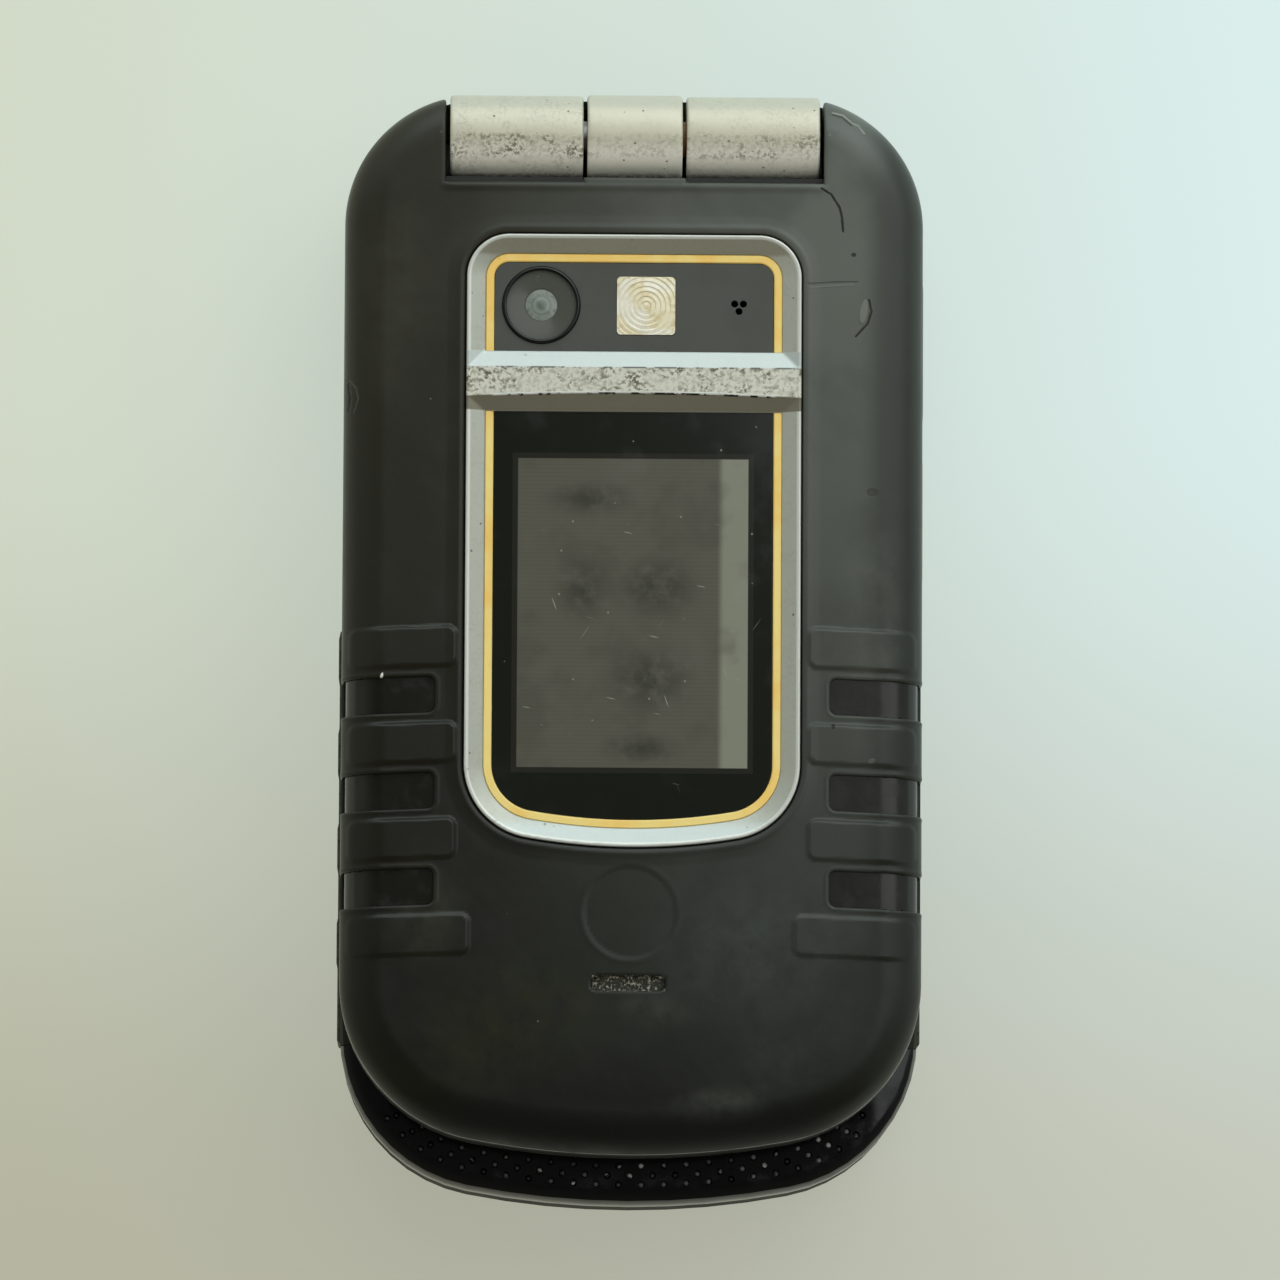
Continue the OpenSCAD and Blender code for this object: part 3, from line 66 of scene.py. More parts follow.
skin_low, skin_high = box("lid_rubber_skin")
sleeve_low, sleeve_high = box("hinge_sleeve_right")
knuckle_low, knuckle_high = box("centre_knuckle")
bezel_low, bezel_high = box("window_bezel")
trim_low, trim_high = box("window_trim_ring")
pane_low, pane_high = box("camera_window")
glass_low, glass_high = box("outer_display_window")
base_low, base_high = box("base_rear_shell")
screen_low, screen_high = box("outer_display")
inner_low, inner_high = box("inner_display")
lens_low, lens_high = box("camera_lens")
ring_low, ring_high = box("camera_ring")
flash_low, flash_high = box("flash_lens")
chin_low, chin_high = box("chin_panel")

HINGE_Y = (sleeve_low[1] + sleeve_high[1]) / 2
HINGE_Z = (sleeve_low[2] + sleeve_high[2]) / 2
SLEEVE_R = (sleeve_high[1] - sleeve_low[1]) / 2
KNUCKLE_R = (knuckle_high[1] - knuckle_low[1]) / 2
BEZEL_PROUD = 0.1
LID_TOP = bezel_high[2] - BEZEL_PROUD
LID_LOW = skin_low[2]
CROSSBAR_LOW = glass_high[1]
CROSSBAR_HIGH = pane_low[1]
CROSSBAR_Y = (CROSSBAR_LOW + CROSSBAR_HIGH) / 2

# ---- shapes as distance fields


class Plan:
    """Outline seen from above: straight sides, round rear corners and a bowed free end."""

    def __init__(self, half, rear, free, rear_r, free_r, bow_r):
        self.half, self.rear, self.free = half, rear, free
        self.rear_r, self.free_r, self.bow_r = rear_r, free_r, bow_r
        self.corner_x = half - free_r
        self.turn = math.asin(self.corner_x / (bow_r - free_r))
        self.bow_y = free + bow_r
        self.corner_y = self.bow_y - (bow_r - free_r) * math.cos(self.turn)

    def inset(self, by):
        """The same outline moved inwards."""
        return Plan(self.half - by, self.rear - by, self.free + by,
                    max(self.rear_r - by, 0.05), max(self.free_r - by, 0.05), self.bow_r - by)

    def distance(self, x, y):
        """Signed distance to the outline, negative inside it."""
        x = np.abs(x)
        straight = np.maximum(np.maximum(x - self.half, y - self.rear),
                              np.hypot(x, y - self.bow_y) - self.bow_r)
        across, along = x - (self.half - self.rear_r), y - (self.rear - self.rear_r)
        rear = np.hypot(across, along) - self.rear_r
        free = np.hypot(x - self.corner_x, y - self.corner_y) - self.free_r
        in_rear = (across > 0) & (along > 0)
        beside_bow = x * math.cos(self.turn) + (y - self.bow_y) * math.sin(self.turn) > 0
        in_free = (y < self.corner_y) & beside_bow
        return np.where(in_rear, rear, np.where(in_free, free, straight))

    def points(self, steps=24):
        """Points of the outline, anticlockwise from the right-hand side."""
        def arc(cx, cy, r, start, end, skip=0):
            for i in range(skip, steps - skip + 1):
                a = start + (end - start) * i / steps
                yield cx + r * math.cos(a), cy + r * math.sin(a)
        quarter, full = math.pi / 2, 2 * math.pi
        x, y = self.half - self.rear_r, self.rear - self.rear_r
        return np.array([
            *arc(x, y, self.rear_r, 0, quarter),
            *arc(-x, y, self.rear_r, quarter, 2 * quarter),
            *arc(-self.corner_x, self.corner_y, self.free_r, 2 * quarter, 3 * quarter - self.turn),
            *arc(0, self.bow_y, self.bow_r, 3 * quarter - self.turn, 3 * quarter + self.turn, 1),
            *arc(self.corner_x, self.corner_y, self.free_r, 3 * quarter + self.turn, full)])


HALF = base_high[0]
SHOULDER_R, LID_CORNER_R, CHIN_CORNER_R, END_BOW = 11.2, 13.5, 13.2, 72.5
lid_plan = Plan(HALF, base_high[1], skin_low[1], SHOULDER_R, LID_CORNER_R, END_BOW)
base_plan = Plan(HALF, base_high[1], base_low[1], SHOULDER_R, CHIN_CORNER_R, END_BOW)
bezel_plan = Plan(bezel_high[0], bezel_high[1], bezel_low[1], 3.6, 6.3, 52.0)

EDGE_WIDTH, EDGE_DEPTH = 3.6, 3.0
CROWN = 0.22
GRIP_COUNT, GRIP_PITCH, GRIP_FIRST = 3, 8.05, HINGE_Y - 47.4
WINDOW_START, WINDOW_HEIGHT, WINDOW_DEPTH, INSERT_DEPTH = 16.5, 3.05, 0.7, 0.38
PAD_START, PAD_HEIGHT, PAD_PROUD = 14.75, 3.3, 0.3
LAST_PAD_LONGER, LAST_PAD_SHARE = 1.2, 0.6
GRIP_SLOPE = 0.04
WINDOW_LOW = LID_TOP - EDGE_DEPTH - 2.2
BADGE = (-0.1, bezel_low[1] - 5.5)
BADGE_R = 3.85
VENT = (-0.2, BADGE[1] - 5.9)
VENT_HALF = (3.1, 0.62)
NOTCH_HALF = 15.9
CENTRE_HALF = 4.35
BEZEL_GAP, KNUCKLE_GAP = 0.12, 0.35
WELL_INSIDE = -9.0
SLEEVE_LIP, CENTRE_LIP = 0.55, 0.06
BAR_LOW, BAR_HIGH, BAR_BOW = -1.35, 1.12, 0.38


def smooth_max(a, b, k):
    """Larger of two fields, with the edge between them rounded over a width k."""
    h = np.maximum(k - np.abs(a - b), 0) / k
    return np.maximum(a, b) + h * h * k / 4


def smooth_step(a, b, v):
    t = np.clip((v - a) / (b - a), 0, 1)
    return t * t * (3 - 2 * t)


def round_box(x, y, centre, half, r):
    """Signed distance to a rectangle with round corners."""
    across = np.abs(x - centre[0]) - (half[0] - r)
    along = np.abs(y - centre[1]) - (half[1] - r)
    inside = np.minimum(np.maximum(across, along), 0)
    return np.hypot(np.maximum(across, 0), np.maximum(along, 0)) + inside - r


def rolled(d, z, top, width, depth):
    """Solid under a height, its edge rolled down in a quarter ellipse to the outline at d = 0."""
    u = np.maximum(d + width, 0) / width
    v = np.maximum(z - (top - depth), 0) / depth
    s = np.sqrt(u * u + v * v)
    g = np.sqrt((u / width) ** 2 + (v / depth) ** 2)
    return np.where(s > 1e-6, (s - 1) * s / np.maximum(g, 1e-6), -min(width, depth))


def lines(*runs):
    """Grid lines: each run is (start, end, largest pitch), and the runs follow each other."""
    out = []
    for start, end, pitch in runs:
        n = max(1, math.ceil((end - start) / pitch))
        out += [start + (end - start) * i / n for i in range(n)]
    return np.array(out + [runs[-1][1]])


def mirrored(*runs):
    """Grid lines of the runs from 0 outwards, on both sides of the middle line."""
    right = lines(*runs)
    return np.concatenate([-right[:0:-1], right])


def surface(field, xs, ys, zs):
    """Quads of the surface field = 0 on a grid, with their corners settled onto the field."""
    values = field(xs[:, None, None], ys[None, :, None], zs[None, None, :])
    values = np.broadcast_to(values, (len(xs), len(ys), len(zs)))
    inside = values < 0
    nx, ny, nz = (n - 1 for n in inside.shape)
    count = sum(inside[i:i + nx, j:j + ny, k:k + nz].astype(np.int8)
                for i in (0, 1) for j in (0, 1) for k in (0, 1))
    active = (count > 0) & (count < 8)
    cells = np.argwhere(active)
    index = np.full(active.shape, -1)
    index[active] = np.arange(len(cells))
    axes = (xs, ys, zs)
    total, hits = np.zeros((len(cells), 3)), np.zeros(len(cells))
    for axis in range(3):
        one, two = (axis + 1) % 3, (axis + 2) % 3
        for i in (0, 1):
            for j in (0, 1):
                start = cells.copy()
                start[:, one] += i
                start[:, two] += j
                end = start.copy()
                end[:, axis] += 1
                v0, v1 = values[tuple(start.T)], values[tuple(end.T)]
                cross = (v0 < 0) != (v1 < 0)
                t = v0[cross] / (v0[cross] - v1[cross])
                p = np.stack([axes[a][start[cross, a]] for a in range(3)], axis=1)
                p[:, axis] += t * (axes[axis][end[cross, axis]] - p[:, axis])
                total[cross] += p
                hits[cross] += 1
    points = total / hits[:, None]
    quads = []
    for axis in range(3):
        one, two = (axis + 1) % 3, (axis + 2) % 3
        low = np.take(inside, range(inside.shape[axis] - 1), axis)
        high = np.take(inside, range(1, inside.shape[axis]), axis)
        edges = np.argwhere(low != high)
        edges = edges[np.all([(edges[:, o] > 0) & (edges[:, o] < inside.shape[o] - 1)
                              for o in (one, two)], axis=0)]
        around = []
        for i, j in ((1, 1), (0, 1), (0, 0), (1, 0)):
            cell = edges.copy()
            cell[:, one] -= i
            cell[:, two] -= j
            around.append(index[tuple(cell.T)])
        quad = np.stack(around, axis=1)
        outward = low[tuple(edges.T)]
        quads.append(np.where(outward[:, None], quad, quad[:, ::-1]))
    quads = np.concatenate(quads)
    pitch = min(np.diff(a).min() for a in axes)
    for _ in range(3):
        value, slope = sample(field, points)
        step = (value / np.maximum((slope ** 2).sum(1), 0.05))[:, None] * slope
        length = np.linalg.norm(step, axis=1, keepdims=True)
        points = points - step * np.minimum(1, 0.5 * pitch / np.maximum(length, 1e-9))
    normals = sample(field, points)[1]
    normals /= np.maximum(np.linalg.norm(normals, axis=1, keepdims=True), 1e-9)
    return points, quads, normals


def sample(field, points, h=0.02):
    """Value and gradient of a field at points."""
    x, y, z = points.T
    slope = np.stack([
        field(x + h, y, z) - field(x - h, y, z),
        field(x, y + h, z) - field(x, y - h, z),
        field(x, y, z + h) - field(x, y, z - h)], axis=1) / (2 * h)
    return field(x, y, z), slope


def kept(points, quads, normals, keep):
    """The part of a surface whose quads have a corner where keep(x, y, z) holds."""
    good = keep(*points.T)
    quads = quads[good[quads].any(axis=1)]
    used = np.unique(quads)
    order = np.full(len(points), -1)
    order[used] = np.arange(len(used))
    return points[used], order[quads], normals[used]


# ---- pieces

slots = {s["node"]: s["material_slot"] for s in frame["record"]["subparts"]}
body_of_node = {n: b for b, ns in frame["record"]["behaviour"]["bodies"].items() for n in ns}


def piece(name, points, faces, node, material=None, stands_for=True, normals=None):
    """Makes a mesh from points in millimetres, which rides with a CAD node and may stand for it."""
    mesh = bpy.data.meshes.new(name)
    faces = faces.tolist() if isinstance(faces, np.ndarray) else faces
    mesh.from_pydata((np.asarray(points) * MM).tolist(), [], faces)
    mesh.polygons.foreach_set("use_smooth", [True] * len(mesh.polygons))
    if normals is not None:
        mesh.normals_split_custom_set_from_vertices(normals.tolist())
    mesh.update()
    return placed(bpy.data.objects.new(name, mesh), node, material, stands_for)


def placed(obj, node, material=None, stands_for=True):
    """Puts an object in the scene, riding with a CAD node and in that node's material slot."""
    scene.collection.objects.link(obj)
    obj.data.materials.clear()
    obj.data.materials.append(material or finishes[slots[node]])
    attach(obj, body_of_node[node])
    if stands_for:
        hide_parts(node)
    return obj


def surface_piece(name, field, grid, node, keep=None):
    made = surface(field, *grid)
    if keep is not None:
        made = kept(*made, keep)
    return piece(name, made[0], made[1], node, normals=made[2])


SHARP_ANGLE = 35


def softened(node, width, material=None):
    """A copy of a CAD node with its hard edges rounded, which stands for the node."""
    name = node + "_rounded"
    mesh = frame["nodes"][node].data.copy()
    mesh.name = name
    bm = bmesh.new()
    bm.from_mesh(mesh)
    bmesh.ops.remove_doubles(bm, verts=bm.verts, dist=1e-7)
    bmesh.ops.dissolve_limit(bm, angle_limit=math.radians(0.6), verts=bm.verts, edges=bm.edges)
    for f in bm.faces:
        f.smooth = True
    bm.to_mesh(mesh)
    bm.free()
    obj = placed(bpy.data.objects.new(name, mesh), node, material)
    bevel = obj.modifiers.new("round", "BEVEL")
    bevel.width = width * MM
    bevel.segments = 2
    bevel.limit_method = "ANGLE"
    bevel.angle_limit = math.radians(SHARP_ANGLE)
    bevel.harden_normals = True
    bevel.miter_outer = "MITER_ARC"
    smooth_by_angle(obj, SHARP_ANGLE)


def smooth_by_angle(obj, angle):
    """Marks the edges that stay sharp, so that the rest shades smoothly."""
    bm = bmesh.new()
    bm.from_mesh(obj.data)
    for e in bm.edges:
        e.smooth = len(e.link_faces) != 2 or e.calc_face_angle(0) < math.radians(angle)
    bm.to_mesh(obj.data)
    bm.free()


def lathe(profile, steps=96):
    """Points and faces of a profile of (distance from the axis, place on it) turned round X."""
    turns = [2 * math.pi * i / steps for i in range(steps)]
    points = [(x, r * math.cos(a), r * math.sin(a)) for r, x in profile for a in turns]
    faces = [(k * steps + i, k * steps + (i + 1) % steps,
              (k + 1) * steps + (i + 1) % steps, (k + 1) * steps + i)
             for k in range(len(profile) - 1) for i in range(steps)]
    faces.append(tuple(range(steps - 1, -1, -1)))
    faces.append(tuple((len(profile) - 1) * steps + i for i in range(steps)))
    return np.array(points), faces


def ring(profile, plan):
    """Points and faces of a closed ring; its section lists (inset from the plan, height)."""
    rows = [plan.inset(inset).points() for inset, _ in profile]
    n, m = len(rows[0]), len(profile)
    points = [(x, y, profile[k][1]) for k in range(m) for x, y in rows[k]]
    faces = [(k * n + i, k * n + (i + 1) % n, (k + 1) % m * n + (i + 1) % n, (k + 1) % m * n + i)
             for k in range(m) for i in range(n)]
    return np.array(points), faces


# ---- materials


def srgb(r, g, b):
    """Linear colour of 8-bit screen values."""
    def linear(v):
        v /= 255
        return v / 12.92 if v <= 0.04045 else ((v + 0.055) / 1.055) ** 2.4
    return (linear(r), linear(g), linear(b), 1.0)


def tinted(colour, by, more=0):
    """A darker or lighter copy of a colour."""
    return tuple(min(int(c * by) + more, 255) for c in colour)


class Value:
    """A number in a material's node tree, so that sums on it can be written out."""

    def __init__(self, finish, socket):
        self.finish, self.socket = finish, socket

    def __add__(self, other):
        return self.finish.math("ADD", self, other)

    def __sub__(self, other):
        return self.finish.math("SUBTRACT", self, other)

    def __rsub__(self, other):
        return self.finish.math("SUBTRACT", other, self)

    def __mul__(self, other):
        return self.finish.math("MULTIPLY", self, other)

    def __abs__(self):
        return self.finish.math("ABSOLUTE", self)


class Finish:
    """A procedural material: a Principled shader, and helpers that add nodes in millimetres."""

    def __init__(self, name, colour, rough=0.5, metallic=0.0, **sockets):
        self.material = bpy.data.materials.new(name)
        self.material.use_nodes = True
        self.tree = self.material.node_tree
        self.shader = self.tree.nodes["Principled BSDF"]
        self.colour, self.rough, self.height = srgb(*colour), rough, None
        self.shader.inputs["Metallic"].default_value = metallic
        for socket, value in sockets.items():
            self.shader.inputs[socket.replace("_", " ")].default_value = value
        metres = self.node("TexCoord", "Object", {})
        self.where = self.node("Mapping", "Vector", {"Vector": metres, "Scale": (1 / MM,) * 3})
        self.x, self.y, self.z = (
            Value(self, self.node("SeparateXYZ", i, {0: self.where})) for i in range(3))

    def node(self, kind, output, inputs, **settings):
        """Adds a node, feeds its inputs, and gives one of its outputs."""
        node = self.tree.nodes.new("ShaderNode" + kind)
        for key, value in settings.items():
            setattr(node, key, value)
        for key, value in inputs.items():
            self.feed(node.inputs[key], value)
        return node.outputs[output]

    def feed(self, socket, value):
        """Links an output, or sets a constant."""
        value = value.socket if isinstance(value, Value) else value
        if isinstance(value, bpy.types.NodeSocket):
            self.tree.links.new(value, socket)
        else:
            socket.default_value = value

    def math(self, operation, *values):
        return Value(self, self.node("Math", 0, dict(enumerate(values)), operation=operation))

    def hypot(self, x, y):
        return self.math("SQRT", x * x + y * y)

    def mapped(self, scale, turn=0.0):
        """The place, turned about Z and then scaled."""
        return self.node("Mapping", "Vector", {
            "Vector": self.where, "Rotation": (0, 0, math.radians(turn)),
            "Scale": tuple(1 / c for c in scale)}, vector_type="TEXTURE")

    def noise(self, pitch, detail=4.0, rough=0.6, vector=None, warp=0.0):
        """Noise whose features are about pitch millimetres wide."""
        return Value(self, self.node("TexNoise", "Fac", {
            "Vector": vector or self.where, "Scale": 1 / pitch, "Detail": detail,
            "Roughness": rough, "Distortion": warp}))

    def patches(self, pitch, low, high, detail=4.0, rough=0.6, warp=0.0):
        """Mask of the places where noise is high."""
        return self.step(self.noise(pitch, detail, rough, warp=warp), low, high)

    def cells(self, pitch, vector=None):
        """Distance to the nearest of scattered points about pitch apart, and its random value."""
        inputs = {"Vector": vector or self.where, "Scale": 1 / pitch}
        distance = self.node("TexVoronoi", "Distance", inputs)
        pick = self.node("SeparateColor", 0, {0: distance.node.outputs["Color"]})
        return Value(self, distance), Value(self, pick)

    def step(self, value, low, high, smooth=True):
        """0 below low, 1 above high."""
        return Value(self, self.node(
            "MapRange", "Result", {"Value": value, "From Min": low, "From Max": high},
            interpolation_type="SMOOTHSTEP" if smooth else "LINEAR"))

    def band(self, value, low, high, soft=0.1):
        """1 between two values, 0 beyond them."""
        return self.step(value, low - soft, low) * self.step(value, high + soft, high)

    def mix(self, fac, a, b):
        return self.node("Mix", 2, {0: fac, 6: a, 7: b}, data_type="RGBA")

    def paint(self, mask, colour, share=1):
        """Lays a colour over what is there, by a share of a mask."""
        self.colour = self.mix(mask if share == 1 else mask * share, self.colour, srgb(*colour))

    def roughen(self, mask, rough):
        self.rough = self.node("Mix", 0, {0: mask, 2: self.rough, 3: rough}, data_type="FLOAT")

    def raise_by(self, height, amount):
        """Adds a height in millimetres to the bump."""
        self.height = self.height + height * amount if self.height else height * amount

    def scattered(self, distance, pick, width, narrow, share):
        """Mask of the places near some points, of which a share is picked."""
        chosen = self.step(pick, 1 - share, 1 - share + 0.02)
        return self.step(distance, width, width * narrow) * chosen

    def streaks(self, pitch, stretch, turn, width, share):
        """Mask of short scratches in one direction."""
        cells = self.cells(pitch, self.mapped((1, stretch, 1), turn))
        return self.scattered(*cells, width, 0.5, share)

    def specks(self, pitch, size, share):
        """Mask of scattered dots of about size millimetres."""
        return self.scattered(*self.cells(pitch), size / pitch, 0.6, share)

    def stroke(self, points, width):
        """Mask of a thin, uneven line through points of the plan."""
        nearest = None
        for (ax, ay), (bx, by) in zip(points, points[1:]):
            dx, dy = bx - ax, by - ay
            square = dx * dx + dy * dy
            x, y = self.x - ax, self.y - ay
            t = x * (dx / square) + y * (dy / square)
            t = self.math("MINIMUM", self.math("MAXIMUM", t, 0.0), 1.0)
            d = self.hypot(x - t * dx, y - t * dy)
            nearest = self.math("MINIMUM", nearest, d) if nearest else d
        wobble = width * 0.8
        return self.step(nearest + self.noise(0.5, 2.0) * wobble - wobble / 2, width, width * 0.4)

    def blob(self, at, radii, turn=0.0, soft=0.3):
        """Mask of an ellipse in the plan."""
        c, s = math.cos(math.radians(turn)), math.sin(math.radians(turn))
        x, y = self.x - at[0], self.y - at[1]
        u = x * (c / radii[0]) + y * (s / radii[0])
        v = y * (c / radii[1]) - x * (s / radii[1])
        return self.step(self.hypot(u, v), 1 + soft / 2, 1 - soft / 2)

    def done(self):
        self.feed(self.shader.inputs["Base Color"], self.colour)
        self.feed(self.shader.inputs["Roughness"], self.rough)
        if self.height:
            bump = {"Strength": 1.0, "Distance": MM, "Height": self.height}
            self.feed(self.shader.inputs["Normal"], self.node("Bump", "Normal", bump))
        return self.material


def moulded(name, colour, rough, grain=0.004, pitch=0.35, **sockets):
    """Moulded plastic or rubber: fine grain, faint mottling and a smudged gloss."""
    f = Finish(name, colour, rough, **sockets)
    f.paint(f.patches(9.0, 0.4, 0.68), tinted(colour, 0.9))
    f.paint(f.specks(2.2, 0.08, 0.25), tinted(colour, 1, 50), 0.4)
    f.roughen(f.patches(3.0, 0.42, 0.66), min(rough + 0.08, 1))
    f.raise_by(f.noise(pitch, 3.0), grain)
    return f


def ribbed_rubber(name, colour):
    """Soft grip rubber with shallow ribs across it."""
    f = moulded(name, colour, 0.6, 0.006, 0.3)
    rib = f.step(f.math("SINE", f.y * (2 * math.pi / 2.0)), -0.2, 0.6)
    f.paint(1.0 - rib, tinted(colour, 0.6), 0.5)
    f.raise_by(rib, 0.16)
    return f.done()


# lines in the rubber: points, half width, height, colour and share
RUBBER_MARKS = [
    ([(15.7, 38.3), (16.5, 37.8), (17.2, 36.7), (17.4, 35.9), (17.5, 34.7)],
     0.13, -0.05, (8, 9, 6), 0.9),
    ([(16.6, 44.9), (17.5, 44.7), (18.3, 44.0), (18.8, 43.8), (19.3, 43.1)],
     0.11, 0.05, (150, 152, 142), 0.8),
    ([(16.6, 44.7), (17.4, 44.5), (18.2, 43.8)], 0.1, -0.05, (20, 22, 18), 0.6),
    ([(14.6, 30.2), (16.6, 30.35), (18.7, 30.4)], 0.12, -0.03, (40, 42, 38), 0.4),
    ([(14.8, 29.9), (16.6, 30.05), (18.3, 30.15)], 0.09, 0.02, (122, 126, 118), 0.3),
    ([(19.7, 28.9), (19.9, 27.9), (19.6, 26.9), (18.6, 25.8)], 0.12, -0.04, (12, 13, 10), 0.85),
    ([(-18.7, 1.1), (-16.0, 1.15)], 0.06, 0.02, (92, 94, 84), 0.5),
    ([(-23.9, 22.0), (-23.3, 21.3), (-23.1, 20.4), (-23.5, 19.2)], 0.1, -0.05, (72, 72, 58), 0.8),
    ([(-23.9, 21.6), (-23.75, 20.4), (-23.9, 19.4)], 0.16, -0.05, (12, 12, 8), 0.8),
]
# patches of dust and grease on the rubber: place, radii, turn, colour and share
RUBBER_FILM = [
    ((10.8, -24.7), (7.0, 4.8), 20, (74, 80, 78), 0.5),
    ((1.8, -30.9), (2.4, 1.2), -10, (78, 80, 70), 0.45),
    ((7.6, -38.8), (3.4, 1.2), 10, (84, 85, 76), 0.6),
    ((-9.9, -32.0), (8.0, 4.5), 25, (44, 46, 22), 0.55),
    ((-17.0, -22.5), (2.6, 4.0), 0, (66, 68, 54), 0.45),
    ((13.5, -34.0), (6.0, 3.0), 35, (50, 56, 52), 0.45),
    ((20.0, 2.0), (2.2, 9.0), 0, (98, 102, 92), 0.4),
    ((-20.0, 30.0), (2.4, 8.0), 0, (72, 72, 56), 0.35),
]
# spots in the rubber: place, radii, turn, height, colour and share
RUBBER_DENTS = [
    ((19.25, 27.9), (0.33, 1.0), -8, 0.04, (118, 122, 112), 0.75),
    ((18.4, 32.7), (0.2, 0.17), 0, -0.04, (14, 15, 12), 0.8),
    ((-20.95, -3.1), (0.12, 0.3), -15, 0.03, (232, 232, 222), 1.0),
    ((16.8, -7.1), (0.14, 0.22), 0, -0.04, (12, 13, 10), 0.9),
    ((20.0, -10.0), (0.3, 0.2), 20, 0.02, (96, 98, 90), 0.5),
    ((20.0, 12.6), (0.5, 0.35), 0, -0.02, (40, 42, 36), 0.4),
]


def rubber_material():
    """Satin rubber, dark olive, with painted sheen that makes it greyer towards the hinge end and
    the right, painted shade that darkens the free end and the right edge, and a painted highlight
    along the parting line.
    """
    f = Finish("lid_rubber", (30, 30, 24), 0.34, Specular_IOR_Level=0.32)
    # painted sheen: near black at the free end, greyer towards the hinge end, lightest at the right
    across, along = f.step(f.x, -19, 16), f.step(f.y, -38, 32, False)
    f.colour = f.mix(along, f.mix(across, srgb(15, 15, 9), srgb(20, 21, 14)),
                     f.mix(across, srgb(44, 43, 33), srgb(96, 100, 93)))
    # painted shade: darker along the right edge, where the edge rolls away from the light
    f.paint(f.step(f.x, 18.6, 22.0), (30, 33, 27), 0.75)
    f.paint(f.patches(9.0, 0.45, 0.75, 4.0, 0.5, 0.4), (26, 27, 20), 0.3)
    film = f.patches(2.8, 0.22, 0.8, 6.0, 0.66, 0.2)
    for at, radii, turn, colour, share in RUBBER_FILM:
        f.paint(f.blob(at, radii, turn, 1.5) * film, colour, share)
    # painted shade: near black at the free end, where the edge rolls away from the light
    f.paint(f.step(f.y, -37.0, -41.0), (6, 8, 9), 0.8)
    f.roughen(f.step(f.y, -38.0, -41.0), 0.55)
    f.roughen(f.patches(5.0, 0.45, 0.7), 0.42)
    f.paint(f.specks(3.4, 0.1, 0.3), (120, 120, 108), 0.55)
    f.paint(f.streaks(6.0, 0.1, 8, 0.03, 0.3), (96, 98, 88), 0.2)
    f.raise_by(f.noise(0.22, 3.0), 0.003)
    f.raise_by(f.noise(3.2, 3.0), 0.03)
    marks = [(f.stroke(points, width), *rest) for points, width, *rest in RUBBER_MARKS]
    marks += [(f.blob(at, radii, turn), *rest) for at, radii, turn, *rest in RUBBER_DENTS]
    for mark, depth, colour, share in marks:
        f.paint(mark, colour, share)
        f.raise_by(mark, depth)
    reach, rise = VENT_HALF[0] - 0.2, VENT_HALF[1] - 0.02
    slot = (f.band(f.x, VENT[0] - reach, VENT[0] + reach, 0.2)
            * f.band(f.y, VENT[1] - rise, VENT[1] + rise))
    crumbs = slot * f.patches(0.28, 0.5, 0.58, 4.0, 0.7) * f.patches(1.4, 0.36, 0.5, 2.0)
    f.paint(slot, (52, 52, 42), 0.6)
    f.paint(crumbs, (178, 176, 158))
    f.raise_by(crumbs, 0.08)
    # painted highlight: a light line along the parting line at the foot of the rolled edge,
    # brighter in patches towards the free end
    parting_highlight = f.band(f.z, LID_TOP - EDGE_DEPTH, LID_TOP - EDGE_DEPTH + 0.25, 0.12)
    f.paint(parting_highlight, (98, 102, 92), 0.55)
    f.paint(parting_highlight * f.step(f.y, -30.0, -38.0) * f.patches(2.0, 0.3, 0.5), (168, 176, 172), 0.7)
    return f.done()


def silver_material(name, colour, dirt, wear):
    """Worn silver paint."""
    f = Finish(name, colour, 0.36, 0.35)
    mottled(f, dirt, wear)
    return f.done()


def mottled(f, dirt, wear, grey=(150, 146, 126)):
    """Grime in patches, fine specks and small pits, where wear is a share or a mask."""
    coarse = f.patches(1.5, 0.42, 0.62, 5.0, 0.65)
    fine = f.patches(0.32, 0.44, 0.58, 4.0, 0.7)
    f.paint(fine * wear, grey, 0.35)
    f.paint(coarse * fine * wear, dirt)
    f.roughen(coarse * wear, 0.52)
    pits = f.specks(0.9, 0.12, 0.3)
    f.paint(pits, tinted(dirt, 0.6), 0.7)
    f.raise_by(pits, -0.03)
    f.raise_by(f.noise(0.3, 4.0), 0.006)


